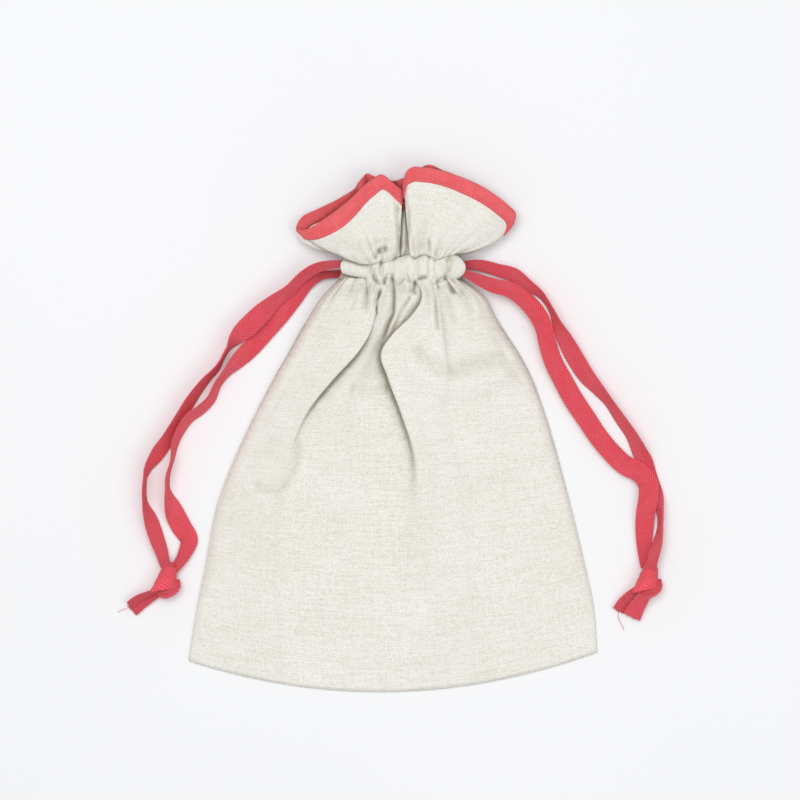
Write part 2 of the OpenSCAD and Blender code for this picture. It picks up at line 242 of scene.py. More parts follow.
def mixColour(tree, factor, a, b, blend="MIX"):
    node = tree.nodes.new("ShaderNodeMix")
    node.data_type = "RGBA"
    node.blend_type = blend
    if isinstance(factor, (int, float)):
        node.inputs[0].default_value = factor
    else:
        tree.links.new(factor, node.inputs[0])
    for place, value in ((6, a), (7, b)):
        if isinstance(value, tuple):
            node.inputs[place].default_value = (*value, 1)
        else:
            tree.links.new(value, node.inputs[place])
    return node.outputs[2]


def clothUvOutputs(tree):
    uvMap = tree.nodes.new("ShaderNodeUVMap")
    uvMap.uv_map = "clothUv"
    split = tree.nodes.new("ShaderNodeSeparateXYZ")
    tree.links.new(uvMap.outputs[0], split.inputs[0])
    return split.outputs[0], split.outputs[1]


def bumpInto(tree, shader, height, strength, distance):
    bump = tree.nodes.new("ShaderNodeBump")
    bump.inputs["Strength"].default_value = strength
    bump.inputs["Distance"].default_value = distance
    tree.links.new(height, bump.inputs["Height"])
    tree.links.new(bump.outputs[0], shader.inputs["Normal"])


def weighted(tree, *parts):
    # sum of values, each times its weight
    total = None
    for value, weight in parts:
        scaled = mathNode(tree, "MULTIPLY", value, weight)
        total = scaled if total is None else mathNode(tree, "ADD", total, scaled)
    return total


def clothSurface(tree, shader, look, tone, spread, below, specular, sheenRoughness):
    # the roughness wanders with the tone; the rest is even
    rough = mathNode(tree, "ADD", mathNode(tree, "MULTIPLY", tone, spread), look["roughness"] - below)
    tree.links.new(rough, shader.inputs["Roughness"])
    shader.inputs["Specular IOR Level"].default_value = specular
    shader.inputs["Sheen Weight"].default_value = look["sheen"]
    shader.inputs["Sheen Roughness"].default_value = sheenRoughness


def sineOf(tree, value, period):
    return mathNode(tree, "SINE", mathNode(tree, "MULTIPLY", value, 2 * math.pi / period))


def withPaintedHollowShade(tree, base, shadeTint):
    # painted shade: where the baked hollow value is high, the colour is multiplied towards the tint, standing in for
    # the shade down in creases
    paintedHollowShade = tree.nodes.new("ShaderNodeAttribute")
    paintedHollowShade.attribute_name = "paintedHollowShade"
    return mixColour(tree, paintedHollowShade.outputs["Fac"], base, mixColour(tree, 1.0, base, shadeTint, "MULTIPLY"))


linenLook = {
    "light": (0.905, 0.893, 0.838),
    "dark": (0.745, 0.71, 0.615),
    "fleck": (0.42, 0.40, 0.35),
    "threadPitch": 0.62,       # millimetres from thread to thread
    "roughness": 0.92,
    "sheen": 0.12,
}


def makeLinen(name, look):
    material, tree, shader = startMaterial(name)
    u, v = clothUvOutputs(tree)
    pitch = look["threadPitch"]
    warpSlub = noiseNode(tree, u, v, 1.6, 0.07, 2, 0.6, 3.1)
    weftSlub = noiseNode(tree, u, v, 0.07, 1.6, 2, 0.6, 7.7)
    speckle = noiseNode(tree, u, v, 0.95, 1.25, 3, 0.7, 1.3)
    cloud = noiseNode(tree, u, v, 0.02, 0.028, 2, 0.5, 5.5)
    tone = weighted(tree, (warpSlub, 0.16), (weftSlub, 0.28), (speckle, 0.56))
    base = rampNode(tree, tone, [(0.38, look["dark"]), (0.55, look["light"])])
    # short thick places in the weft, long thin ones, and dots
    for scales, detail, roughness, seed, low, high, strength in (
            ((0.26, 1.7), 2, 0.6, 11.0, 0.63, 0.73, 0.5), ((0.07, 1.5), 2, 0.55, 23.0, 0.66, 0.75, 0.22),
            ((1.1, 1.4), 1, 0.4, 19.0, 0.66, 0.78, 0.5)):
        noise = noiseNode(tree, u, v, *scales, detail, roughness, seed)
        spots = rampNode(tree, noise, [(low, (0, 0, 0)), (high, (1, 1, 1))])
        base = mixColour(tree, mathNode(tree, "MULTIPLY", spots, strength), base, look["fleck"])
    shade = rampNode(tree, cloud, [(0.35, (0.955, 0.95, 0.935)), (0.65, (1, 1, 1))])
    base = mixColour(tree, 1.0, base, shade, "MULTIPLY")
    # painted shade in the creases: a brown-grey tint darkens the linen where it lies low
    base = withPaintedHollowShade(tree, base, (0.30, 0.26, 0.19))
    tree.links.new(base, shader.inputs["Base Color"])
    # plain weave: each thread rises over every second one that it crosses
    weave = mathNode(tree, "MULTIPLY", sineOf(tree, u, pitch * 2), sineOf(tree, v, pitch * 2))
    bumpInto(tree, shader, weighted(tree, (weave, 0.5), (tone, 1.8)), 0.6, 0.00018)
    clothSurface(tree, shader, look, tone, 0.12, 0.08, 0.25, 0.6)
    return material


bindingLook = {
    "light": (0.86, 0.155, 0.165),
    "dark": (0.72, 0.085, 0.10),
    "threadPitch": 0.45,
    "roughness": 0.85,
    "sheen": 0.25,
}


def makeBinding(name, look):
    material, tree, shader = startMaterial(name)
    u, v = clothUvOutputs(tree)
    warp = noiseNode(tree, u, v, 2.2, 0.12, 2, 0.6, 2.0)
    weft = noiseNode(tree, u, v, 0.12, 2.2, 2, 0.6, 4.0)
    cloud = noiseNode(tree, u, v, 0.09, 0.16, 3, 0.6, 9.0)
    tone = mathNode(tree, "MULTIPLY", mathNode(tree, "ADD", mathNode(tree, "ADD", warp, weft), cloud), 0.334)
    base = rampNode(tree, tone, [(0.36, look["dark"]), (0.60, look["light"])])
    # painted shade in the creases of the binding, with a dark red tint
    base = withPaintedHollowShade(tree, base, (0.55, 0.35, 0.35))
    tree.links.new(base, shader.inputs["Base Color"])
    pitch = look["threadPitch"]
    weave = mathNode(tree, "MULTIPLY", sineOf(tree, u, pitch * 2), sineOf(tree, v, pitch * 2))
    bumpInto(tree, shader, weighted(tree, (weave, 0.5), (tone, 1.8)), 0.5, 0.00014)
    clothSurface(tree, shader, look, tone, 0.15, 0.1, 0.25, 0.5)
    return material


tapeLook = {
    "light": (1.0, 0.135, 0.175),
    "dark": (0.93, 0.056, 0.092),
    "ribPitch": 1.6,           # from one slanted rib to the next, along the tape
    "slant": 1.25,
    "roughness": 0.8,
    "sheen": 0.15,
}


def makeTape(name, look):
    # herringbone: the ribs slant one way on one half of the width and the other way on the other
    material, tree, shader = startMaterial(name)
    u, v = clothUvOutputs(tree)
    fromMiddle = mathNode(tree, "ABSOLUTE", u)
    slanted = mathNode(tree, "ADD", v, mathNode(tree, "MULTIPLY", fromMiddle, look["slant"]))
    rib = sineOf(tree, slanted, look["ribPitch"])
    cloud = noiseNode(tree, u, v, 0.14, 0.09, 3, 0.6, 6.0)
    fuzz = noiseNode(tree, u, v, 2.0, 2.0, 2, 0.6, 8.0)
    tone = weighted(tree, (rib, 0.24), (cloud, 0.6), (fuzz, 0.4))
    base = rampNode(tree, tone, [(0.24, look["dark"]), (0.62, look["light"])])
    tree.links.new(base, shader.inputs["Base Color"])
    height = mathNode(tree, "ADD", rib, mathNode(tree, "MULTIPLY", fuzz, 0.6))
    bumpInto(tree, shader, height, 0.9, 0.0003)
    clothSurface(tree, shader, look, fuzz, 0.15, 0.08, 0.3, 0.45)
    return material


def makeThread(name, light, dark):
    material, tree, shader = startMaterial(name)
    u, v = clothUvOutputs(tree)
    twist = sineOf(tree, mathNode(tree, "ADD", v, u), 0.5)
    fuzz = noiseNode(tree, u, v, 2.0, 2.0, 2, 0.6, 12.0)
    tone = mathNode(tree, "ADD", mathNode(tree, "MULTIPLY", twist, 0.12), fuzz)
    tree.links.new(rampNode(tree, tone, [(0.3, dark), (0.65, light)]), shader.inputs["Base Color"])
    bumpInto(tree, shader, tone, 0.5, 0.0001)
    shader.inputs["Roughness"].default_value = 0.8
    shader.inputs["Specular IOR Level"].default_value = 0.3
    shader.inputs["Sheen Weight"].default_value = 0.2
    return material


def makeFloor(name):
    material, tree, shader = startMaterial(name)
    place = tree.nodes.new("ShaderNodeTexCoord")
    noise = tree.nodes.new("ShaderNodeTexNoise")
    noise.inputs["Scale"].default_value = 3.0
    tree.links.new(place.outputs["Object"], noise.inputs["Vector"])
    colour = rampNode(tree, noise.outputs[0], [(0.3, (0.893, 0.90, 0.91)), (0.7, (0.91, 0.915, 0.925))])
    tree.links.new(colour, shader.inputs["Base Color"])
    shader.inputs["Roughness"].default_value = 0.95
    shader.inputs["Specular IOR Level"].default_value = 0.1
    return material


linen = makeLinen("linen", linenLook)
bindingCloth = makeBinding("bindingCloth", bindingLook)
twillTape = makeTape("twillTape", tapeLook)
naturalThread = makeThread("naturalThread", (0.82, 0.79, 0.70), (0.66, 0.62, 0.52))
coralThread = makeThread("coralThread", (0.90, 0.17, 0.19), (0.62, 0.07, 0.10))

# Stage.
lightSetup = {
    "skyStrength": 0.44,
    "keyPower": 15.2,
    "keySize": 1.1,
    "keyPlace": (-0.24, 0.36, 1.62),
    "fillPower": 5.6,
    "fillPlace": (0.8, -0.5, 1.4),
}


def addStage(setup):
    bpy.ops.mesh.primitive_plane_add(size=viewSetup["floorSize"], location=(0, 0, -0.0002))
    floor = bpy.context.active_object
    floor.name = "floor"
    bpy.ops.object.transform_apply(location=True, rotation=True, scale=True)
    floor.data.materials.append(makeFloor("paleFloor"))
    world = bpy.data.worlds.new("softRoom")
    bpy.context.scene.world = world
    world.use_nodes = True
    world.node_tree.nodes["Background"].inputs[0].default_value = (0.985, 0.99, 1.0, 1)
    world.node_tree.nodes["Background"].inputs[1].default_value = setup["skyStrength"]
    for name, power, place in (("keyLight", setup["keyPower"], setup["keyPlace"]),
                               ("fillLight", setup["fillPower"], setup["fillPlace"])):
        data = bpy.data.lights.new(name, "AREA")
        data.energy = power
        data.shape = "SQUARE"
        data.size = setup["keySize"]
        lamp = bpy.data.objects.new(name, data)
        bpy.context.scene.collection.objects.link(lamp)
        lamp.location = place
        lamp.rotation_euler = (Vector((0, 0, 0)) - Vector(place)).to_track_quat("-Z", "Y").to_euler()
    bpy.context.scene.view_settings.view_transform = "Standard"


addStage(lightSetup)
print("stage: camera, light and finishes ready")

# Drawstrings.
casingLow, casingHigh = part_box("front_casing")
exitLeft = casingLow.x / mm
exitRight = casingHigh.x / mm
casingMiddle = (casingLow.y + casingHigh.y) / 2 / mm

tapeSetup = {
    "width": 10,
    "thickness": 1.0,
    "stations": 420,
    "curl": 0.55,              # how much the tape is cupped across
    "tailStations": 24,
    "tailCurl": 0.2,
    "leftRoll": 1.13,          # the left strands stand more on edge
    "steepest": 84,
    "sway": 5,                 # degrees of slow turning along a strand
}

# Outward from the casing's end, along +Y from the casing's middle, height, width, roll.
tapeRoutes = {
    "leftFrontStrand": [
        (0, 2.2, 15.4, 3.6, 0), (6, 1.6, 13.5, 4.5, 0), (13.5, 0, 9.5, 5.5, 20), (20, -4, 6.4, 7, 38),
        (26, -10, 6, 9, 46), (35, -17, 5.6, 10, 34), (46.5, -28, 6.4, 10, 10), (53.5, -34.5, 5.8, 10, 48),
        (58, -41, 5.6, 10, 78), (62.5, -49, 5.4, 10, 66), (69, -56, 4.9, 10, 58), (75, -64, 4.8, 10, 56),
        (81, -74, 4.8, 10, 56), (87, -84, 4.5, 10, 50), (92.5, -92, 4.2, 10, 42), (97.5, -100, 5, 10, 62),
        (99, -109, 5.6, 10, 84), (98.5, -117.5, 5.4, 10, 70), (95.5, -126.5, 4.3, 9.5, 42),
        (92.5, -135.5, 4, 8.5, 32), (90, -142.5, 4.2, 6.5, 20), (88.5, -148.5, 4.6, 4.6, 0)],
    "leftBackStrand": [
        (0, -2.2, 3.6, 3.6, 0), (12, -3.8, 2.6, 4.5, 0), (17.5, -7.5, 1.8, 5.5, 0), (23.5, -14.5, 1.2, 7, 0),
        (30.5, -22, 0.9, 9, 0), (38, -30.5, 0.9, 9, 0), (45.5, -38.8, 1.4, 9, 8), (52, -45, 3, 9.5, 30),
        (58, -51.5, 4.4, 10, 56), (62.5, -57.5, 4.8, 10, 62), (66, -65, 4.8, 10, 62), (71, -70, 4.8, 10, 60),
        (77, -74.5, 4.8, 10, 60), (80.5, -79.5, 4.8, 10, 60), (83.5, -86, 4.8, 10, 62), (85, -95, 5.2, 10, 72),
        (87.5, -105, 5.6, 10, 82), (87, -113, 5, 10, 64), (84, -122, 2.4, 10, 20), (80.5, -129, 0.9, 10, 0),
        (77, -135, 0.9, 9, 0), (79, -142, 1.6, 7, -12), (85, -151, 3.6, 4.6, -16)],
    "rightFrontStrand": [
        (0, -2.2, 15.4, 3.6, 0), (6, -5, 12.6, 5.5, 0), (15, -8.5, 9, 7.5, -10), (23, -10.5, 7, 8.5, -18),
        (30, -15, 5.4, 9.5, -24), (36, -21.5, 4.6, 10, -26), (40, -29, 4.2, 10, -24), (42, -37.5, 3.8, 10, -20),
        (45, -46.5, 3.4, 10, -16), (50, -56, 3, 10, -12), (55, -65, 2.8, 10, -10), (62, -75.5, 2.6, 10, -8),
        (67, -83, 2.4, 10, -8), (74, -91.5, 2.4, 10, -8), (81, -98, 2.8, 10, -8), (88, -101.5, 3.6, 10, -4),
        (92, -106.5, 3.8, 10, 0), (92.5, -113.5, 3.6, 10, 0), (91, -121.5, 3, 9.5, 0), (90.5, -130, 1.8, 9, 0),
        (90.5, -138.5, 1.8, 7.5, 0), (91, -149, 3, 5, 0)],
    "rightBackStrand": [
        (0, 2.2, 3.6, 3.6, 0), (7.5, 2, 3, 5.5, 0), (17.5, -0.5, 2, 6.5, 10), (25.5, -3, 2.6, 8, 28),
        (31.5, -7.5, 4, 9, 48), (38.5, -12.4, 5.4, 10, 72), (43.5, -19.5, 5.7, 10, 82), (47.2, -27.5, 5.4, 10, 70),
        (50.5, -34.2, 4.4, 10, 46), (55.5, -43.5, 3.2, 10, 28), (61.5, -53, 3.6, 10, 34), (67.5, -60, 4.6, 10, 56),
        (72.5, -66, 5.2, 10, 70), (79, -75.5, 5, 10, 64), (84.5, -83.5, 4.6, 10, 56), (88, -90.5, 3.2, 9, 34),
        (91, -96.5, 1.4, 8, 8), (93.5, -103.5, 0.9, 7, 0), (96.6, -112, 1.7, 6.5, 16), (98.2, -120, 3.6, 7, 66),
        (98.4, -127, 4.2, 7, 76), (97.2, -135, 5.6, 7, 58), (95, -142, 6.8, 6, 28), (93.5, -149.5, 7, 4.4, 10)],
    "leftFrontTail": [
        (90, -161, 3.4, 5, 0), (95, -163.5, 2.4, 7, 6), (100.5, -167, 1.6, 9, 6), (105, -170.5, 1.4, 10, 4)],
    "leftBackTail": [
        (92, -159.5, 6.2, 5, 0), (97, -162, 4.8, 7, 10), (102.5, -164.5, 3.6, 8.5, 8), (106.5, -167.5, 3, 9, 6)],
    "rightFrontTail": [
        (91.5, -161.5, 6.2, 5, 0), (89, -165, 5, 7, -8), (86, -169.5, 3.6, 9, -8), (84, -173.5, 3, 10, -6)],
    "rightBackTail": [
        (86.5, -160, 3.4, 5, 0), (83, -163, 2.4, 6, -6), (79.5, -167, 1.6, 7, -6), (77.5, -170.5, 1.4, 7.5, -6)],
}


def placed(side, route):
    # turns a route into x, y, z, width, roll
    exitX = exitRight if side > 0 else exitLeft
    return np.array([(exitX + side * p[0], casingMiddle + p[1], p[2], p[3], side * p[4]) for p in route], float)


def resampled(points, stations):
    knots = runAlong(points[:, :3])
    rough = through(knots, points, np.linspace(0, knots[-1], stations * 4))
    along = runAlong(rough[:, :3])
    wanted = np.linspace(0, along[-1], stations)
    return np.stack([np.interp(wanted, along, rough[:, k]) for k in range(rough.shape[1])], axis=1), along[-1]


def ribbonGrid(rows, thickness, curl, around=16):
    centres = rows[:, :3]
    along = unit(np.gradient(centres, axis=0))
    side = unit(np.cross(np.array([0, 0, 1.0]), along))
    up = np.cross(along, side)
    roll = np.radians(rows[:, 4])[:, None]
    across = side * np.cos(roll) + up * np.sin(roll)
    normal = up * np.cos(roll) - side * np.sin(roll)
    angles = wholeTurn(around)
    flatX = np.sign(np.cos(angles)) * np.abs(np.cos(angles)) ** 0.55
    flatY = np.sign(np.sin(angles)) * np.abs(np.sin(angles)) ** 0.8
    half = rows[:, 3][:, None] / 2 * (1 + 0.022 * np.sin(np.arange(len(rows)) * 1.9))[:, None]   # woven edge
    fold = np.clip(1 - rows[:, 3] / 10, 0, 0.7)[:, None]        # a narrow stretch is a folded, thicker tape
    thick = thickness * (1 + 1.6 * fold) / 2
    offX = half * flatX[None, :]
    offY = thick * flatY[None, :] + curl * (flatX[None, :] ** 2 - 0.4) * half / 5
    points = (centres[:, None, :] + across[:, None, :] * offX[:, :, None] + normal[:, None, :] * offY[:, :, None])
    uv = np.zeros((len(rows), around, 2))
    uv[:, :, 0] = flatX[None, :] * 5
    uv[:, :, 1] = runAlong(centres)[:, None]
    return points, uv


def closedRibbon(name, rows, material, thickness, curl, around=16):
    points, uv = ribbonGrid(rows, thickness, curl, around)
    count = len(rows)
    faces, uvs = [], []
    flat = uv.reshape(-1, 2)
    for i in range(count - 1):
        for j in range(around):
            k = (j + 1) % around
            face = [i * around + j, (i + 1) * around + j, (i + 1) * around + k, i * around + k]
            face.reverse()
            faces.append(face)
            uvs.extend([flat[n] for n in face])
    for face in (list(range(around)), [(count - 1) * around + j for j in range(around - 1, -1, -1)]):
        faces.append(face)
        uvs.extend([flat[n] for n in face])
    piece = meshFrom(name, points.reshape(-1, 3), faces, uvs, material)
    faceOutwards(piece)
    return piece


strandPhases = {"leftFrontStrand": 0.3, "leftBackStrand": 1.9, "rightFrontStrand": 3.1, "rightBackStrand": 4.4}


def makeStrand(name, side):
    rows, length = resampled(placed(side, tapeRoutes[name]), tapeSetup["stations"])
    t = np.linspace(0, 1, len(rows))
    if side < 0:
        rows[:, 4] = np.clip(rows[:, 4] * tapeSetup["leftRoll"], -tapeSetup["steepest"], tapeSetup["steepest"])
    rows[:, 4] += tapeSetup["sway"] * np.sin(t * 23 + strandPhases[name]) * np.sin(t * math.pi)
    # no edge of the tape goes into the table
    lowest = np.abs(np.sin(np.radians(rows[:, 4]))) * rows[:, 3] / 2 + 0.75
    rows[:, 2] = np.maximum(rows[:, 2], lowest)
    return closedRibbon(name, rows, twillTape, tapeSetup["thickness"], tapeSetup["curl"])


# how much of its width each tail shows, as some are folded along their length
tailFolds = {"leftFrontTail": 0.62, "leftBackTail": 0.45, "rightFrontTail": 0.95, "rightBackTail": 0.8}


def tailRows(name, side):
    rows, _ = resampled(placed(side, tapeRoutes[name]), tapeSetup["tailStations"])
    rows[:, 3] *= tailFolds[name]
    return rows


def makeTail(name, side):
    rows = tailRows(name, side)
    return closedRibbon(name, rows, twillTape, tapeSetup["thickness"], tapeSetup["tailCurl"])


knotSetup = {
    "top": (3.3, 2.5),         # half width and half height where the strands go in
    "bottom": (5.5, 3.5),      # and where the tails come out
    "length": 12.5,
    "wall": 1.0,
    "around": 36,
    "weld": 0.01,
}


def makeKnot(name, centre, turn, setup):
    # an overhand knot in both strands: one flat turn of tape round the bundle, and its end tucked under itself
    def place(p):
        c, s = math.cos(turn), math.sin(turn)
        return (centre[0] + p[0] * c - p[1] * s, centre[1] + p[0] * s + p[1] * c, centre[2] + p[2])

    angles = wholeTurn(setup["around"])
    profile = [(0.0, 0.93, 1), (0.03, 1.0, 1), (0.14, 1.0, 1), (0.3, 1.03, 1), (0.46, 0.99, 1), (0.62, 1.03, 1),
               (0.78, 1.0, 1), (0.9, 1.04, 1), (0.97, 1.03, 1), (1.0, 0.96, 1), (0.97, 0.96, 0), (0.6, 0.98, 0),
               (0.3, 0.98, 0), (0.04, 0.98, 0)]
    points, uv = [], []
    for k, (f, size, outside) in enumerate(profile):
        halfX = mix(setup["top"][0], setup["bottom"][0], f ** 0.8) * size - (0 if outside else setup["wall"])
        halfZ = mix(setup["top"][1], setup["bottom"][1], f) * size - (0 if outside else setup["wall"])
        row, rowUv = [], []
        for a in angles:
            cx = np.sign(math.cos(a)) * abs(math.cos(a)) ** 0.75
            cz = np.sign(math.sin(a)) * abs(math.sin(a)) ** 0.85
            corner = max(cx, 0) ** 3 * f                      # the lower right corner reaches out
            x = halfX * cx + corner * 0.9 - 1.6 * f + 0.9
            y = setup["length"] * (0.56 - f * (1 - 0.16 * cx)) + 0.25 * math.sin(2 * a + 5 * f)
            row.append(place((x, y, halfZ * cz + 0.22 * math.sin(5 * a + 4 * f) * outside)))
            rowUv.append((f * 9 - 4.5, a * 4.2))
        points.append(row)
        uv.append(rowUv)
    sleeve = gridPiece(name, np.array(points + points[:1]), np.array(uv + [[(4.6, r[1]) for r in uv[0]]]),
                       twillTape, closedAcross=True)
    parts = [sleeve]
    ribbons = (
        [(0.4, 9.5, 0.4, 5, 0), (0, 4, 0.7, 5.2, 10), (-1.2, -3, 0.6, 6.2, 16), (-3.2, -7.2, 0, 6.6, 10)],
        [(1.4, 8.5, -0.8, 5, 0), (0.6, 3, -1.2, 5.2, -8), (-0.6, -3, -1.2, 5.6, -10), (-1.6, -7.6, -1.6, 5, -8)],
        [(5.2, 1.0, -0.6, 4, 0), (5.9, -2.2, 0.6, 4.6, 24), (3.6, -5.4, 1.3, 4.8, 30), (0.6, -7.0, 0.8, 4.4, 20),
         (-1.6, -6.0, -0.6, 3.6, 0)])
    for n, line in enumerate(ribbons):
        rows = np.array([place(p[:3]) + (p[3], p[4]) for p in line], float)
        rows, _ = resampled(rows, 40)
        parts.append(closedRibbon(name + "Part", rows, twillTape, 1.9 if n == 2 else 1.5, 0.5))
    activate(sleeve)
    for part in parts:
        part.select_set(True)
    bpy.ops.object.join()
    faceOutwards(sleeve, weld=setup["weld"])
    return sleeve


def makeFrays(name, side, ends, count, seed):
    # loose threads past the cut end of each tail
    rng = random.Random(seed)
    points, faces, uvs = [], [], []
    for tail in ends:
        rows = tailRows(tail, side)
        heading = unit(rows[-1, :3] - rows[-3, :3])
        across = np.cross([0, 0, 1], heading)
        for n in range(count):
            start = rows[-1, :3] + across * rng.uniform(-0.47, 0.47) * rows[-1, 3]
            reach = rng.uniform(0.6, 1.6) if n or tail.endswith("FrontTail") else rng.uniform(7, 9)
            bend = rng.uniform(-0.9, 0.9)
            wiggle = rng.uniform(0, 6.3)
            steps = 8
            line = []
            for k in range(steps + 1):
                f = k / steps
                swing = bend * f * f * reach + 0.5 * math.sin(wiggle + f * 7) * f * min(reach / 6, 1)
                p = start + heading * (f * reach - 0.6) + across * swing
                p[2] = max(mix(start[2], 0.3, f), 0.25)
                line.append(p)
            line = np.array(line)
            radius = rng.uniform(0.10, 0.17)
            direction = unit(np.gradient(line, axis=0))
            sideways = unit(np.cross([0, 0, 1], direction))
            upward = np.cross(direction, sideways)
            base = len(points)
            for k in range(steps + 1):
                for j in range(5):
                    a = 2 * math.pi * j / 5
                    points.append(line[k] + (sideways[k] * math.cos(a) + upward[k] * math.sin(a)) * radius)
            for k in range(steps):
                for j in range(5):
                    m = (j + 1) % 5
                    face = [base + k * 5 + j, base + k * 5 + m, base + (k + 1) * 5 + m, base + (k + 1) * 5 + j]
                    face.reverse()
                    faces.append(face)
                    uvs.extend([(j, k), (m, k), (m, k + 1), (j, k + 1)])
            for face in ([base + j for j in range(4, -1, -1)], [base + steps * 5 + j for j in range(5)]):
                face.reverse()
                faces.append(face)
                uvs.extend([(0, 0)] * 5)
    piece = meshFrom(name, points, faces, uvs, coralThread)
    faceOutwards(piece)
    return piece


runSetup = {
    "middle": (9.2, 1.8, 5.2),     # height of the neck's middle, then half of the loop's depth and height
    "half": (1.5, 0.7),            # half width and half thickness of the crumpled tape
    "middleX": 5,
    "bendReach": 21.2,             # from the middle to where the tape turns back, near the other end
    "bendDepth": 6.3,
    "stations": 90,
    "around": 12,
}


def makeRun(name, side):
    # the crumpled stretch inside the casing: out through one strip, round, and back through the other
    exitX = exitRight if side > 0 else exitLeft
    bendX = runSetup["middleX"] - side * runSetup["bendReach"]
    middleZ, reachY, reachZ = runSetup["middle"]
    halfX, halfZ = runSetup["half"]
    line = [(exitX + side * 1.5, reachY * -side, reachZ), (exitX - side * 6, reachY * -side, reachZ)]
    line += [(mix(exitX, bendX, k), reachY * -side, reachZ) for k in (0.3, 0.5, 0.7, 0.85)]
    for n in range(9):
        a = math.pi / 2 - math.pi * n / 8
        line.append((bendX - side * runSetup["bendDepth"] * math.cos(a), reachY * -side * math.sin(a),
                     reachZ * math.sin(a)))
    line += [(mix(exitX, bendX, k), reachY * side, -reachZ) for k in (0.85, 0.7, 0.5, 0.3)]
    line += [(exitX - side * 6, reachY * side, -reachZ), (exitX + side * 1.5, reachY * side, -reachZ)]
    centres = np.array([(p[0], casingMiddle + p[1], middleZ + p[2]) for p in line])
    # sweep with a section that always lies across the pouch
    knots = runAlong(centres)
    smoothLine = through(knots, centres, np.linspace(0, knots[-1], runSetup["stations"]))
    along = unit(np.gradient(smoothLine, axis=0))
    across = np.tile(np.array([0, 1.0, 0]), (len(along), 1))
    across = unit(across - along * np.sum(across * along, axis=1)[:, None])
    normal = np.cross(along, across)
    around = runSetup["around"]
    angles = wholeTurn(around)
    rough = 1 + 0.08 * np.sin(np.linspace(0, 40, len(along)))[:, None]
    points = (smoothLine[:, None, :] + across[:, None, :] * (np.cos(angles) * halfX * rough)[:, :, None]
              + normal[:, None, :] * (np.sin(angles) * halfZ * rough)[:, :, None])
    faces, uvs = [], []
    for i in range(len(along) - 1):
        for j in range(around):
            k = (j + 1) % around
            faces.append([i * around + j, i * around + k, (i + 1) * around + k, (i + 1) * around + j])
            uvs.extend([(j, i), (j + 1, i), (j + 1, i + 1), (j, i + 1)])
    for face in (list(range(around - 1, -1, -1)), [(len(along) - 1) * around + j for j in range(around)]):
        faces.append(face)
        uvs.extend([(0, 0)] * around)
    piece = meshFrom(name, points.reshape(-1, 3), faces, uvs, twillTape)
    faceOutwards(piece)
    return piece


def makeDrawstring(word, side, body, knotAt, turn, seed):
    front = makeStrand(word + "FrontStrand", side)
    back = makeStrand(word + "BackStrand", side)
    exitX = exitRight if side > 0 else exitLeft
    centre = (exitX + side * knotAt[0], casingMiddle + knotAt[1], knotAt[2])
    knot = makeKnot(word + "Knot", centre, turn, knotSetup)
    frontTail = makeTail(word + "FrontTail", side)
    backTail = makeTail(word + "BackTail", side)
    frays = makeFrays(word + "FrayedThreads", side, [word + "FrontTail", word + "BackTail"], 9, seed)
    run = makeRun(word + "TapeRun", side)
    for piece, node in ((front, "front_strand"), (back, "back_strand"), (knot, "knot"), (frontTail, "front_tail"),
                        (backTail, "back_tail"), (run, "tape_run")):
        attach(piece, body)
        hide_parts(word + "_" + node)
    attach(frays, body)


makeDrawstring("left", -1, "left_drawstring", (88.4, -155, 4.6), -0.22, 41)
makeDrawstring("right", 1, "right_drawstring", (91.5, -155, 4.8), -0.18, 57)

# The cloth.
clothSetup = {
    "width": 204,
    "thickness": 0.6,
    "columns": 184,
    "bodyRows": 138,
    "neckRows": 12,
    "ruffleRows": 58,
    "hemBow": 17.5,
    "hemSkew": 4.5,
    "cornerY": -113.5,
    "neckY": 74.5,
    "rootY": 86.5,
    "neckHeight": (12.4, 6.6),     # front and back cloth where the strips close over them
    "rowSpread": 1.35,             # rows lie closer together at the neck
    "pleats": 17,
    "seed": 12,
}

# Levels up the front: height along the pouch, left edge, right edge, first fold, second fold, inner crease,
# how far the cloth tucks under each fold, then heights: edge, left field, strip, recess, right field.
frontLevels = np.array([
    (-113.5, -102, 102, -56, 14, -24, 0, 0, 1.0, 1.6, 1.6, 1.6, 1.6),
    (-90, -98.2, 100, -58, 14.2, -25, 0, 0, 1.0, 3.3, 3.2, 3.2, 3.8),
    (-65, -93.3, 94.8, -60, 13.4, -26, 0, 0.1, 1.0, 4.4, 4.2, 3.8, 5.4),
    (-35, -87.3, 87.6, -57, 12.8, -24, 0, 0.6, 1.0, 5.4, 4.7, 3.9, 7.0),
    (-10, -77.5, 81, -51.5, 11.2, -20, 0.5, 1.6, 1.0, 6.8, 5.1, 4.1, 8.5),
    (10, -68, 75, -42.5, 4.2, -16, 1.5, 2.2, 1.1, 8.4, 5.8, 4.5, 9.8),
    (27, -59, 68.5, -28.6, -2.6, -12, 2.8, 3.6, 1.3, 10.0, 7.0, 5.4, 11.4),
    (39, -52, 62, -17.4, -5.8, -8.5, 3.4, 4.0, 1.7, 11.2, 8.6, 7.0, 12.4),
    (48, -47, 56, -11.6, 0.2, -4, 3.2, 3.4, 2.4, 11.8, 10.8, 8.6, 12.8),
    (57, -41.5, 50.5, -8.6, 9.6, -0.6, 2.6, 2.8, 3.8, 12.2, 12.2, 10.2, 13.0),
    (66, -35.5, 45.5, -7.8, 14.4, 1.4, 1.8, 2.0, 6.4, 12.6, 12.9, 11.2, 13.4),
    (74.5, -27, 34.5, -10, 11, 2, 1.0, 1.0, 9.5, 13.0, 13.0, 11.5, 13.2),
])
columnPlaces = np.array([0, 5, 18, 34, 50, 55, 62, 76, 92, 108, 114, 119, 130, 142, 150, 172, 190, 199, 204], float)

rng = random.Random(clothSetup["seed"])
pleatEdges = np.cumsum([0] + [rng.uniform(0.62, 1.38) for _ in range(clothSetup["pleats"])])
pleatEdges *= clothSetup["width"] / pleatEdges[-1]
pleatHeights = np.array([rng.uniform(0.7, 1.25) for _ in range(clothSetup["pleats"])])
pleatLeans = np.array([rng.uniform(-1, 1) for _ in range(clothSetup["pleats"])])


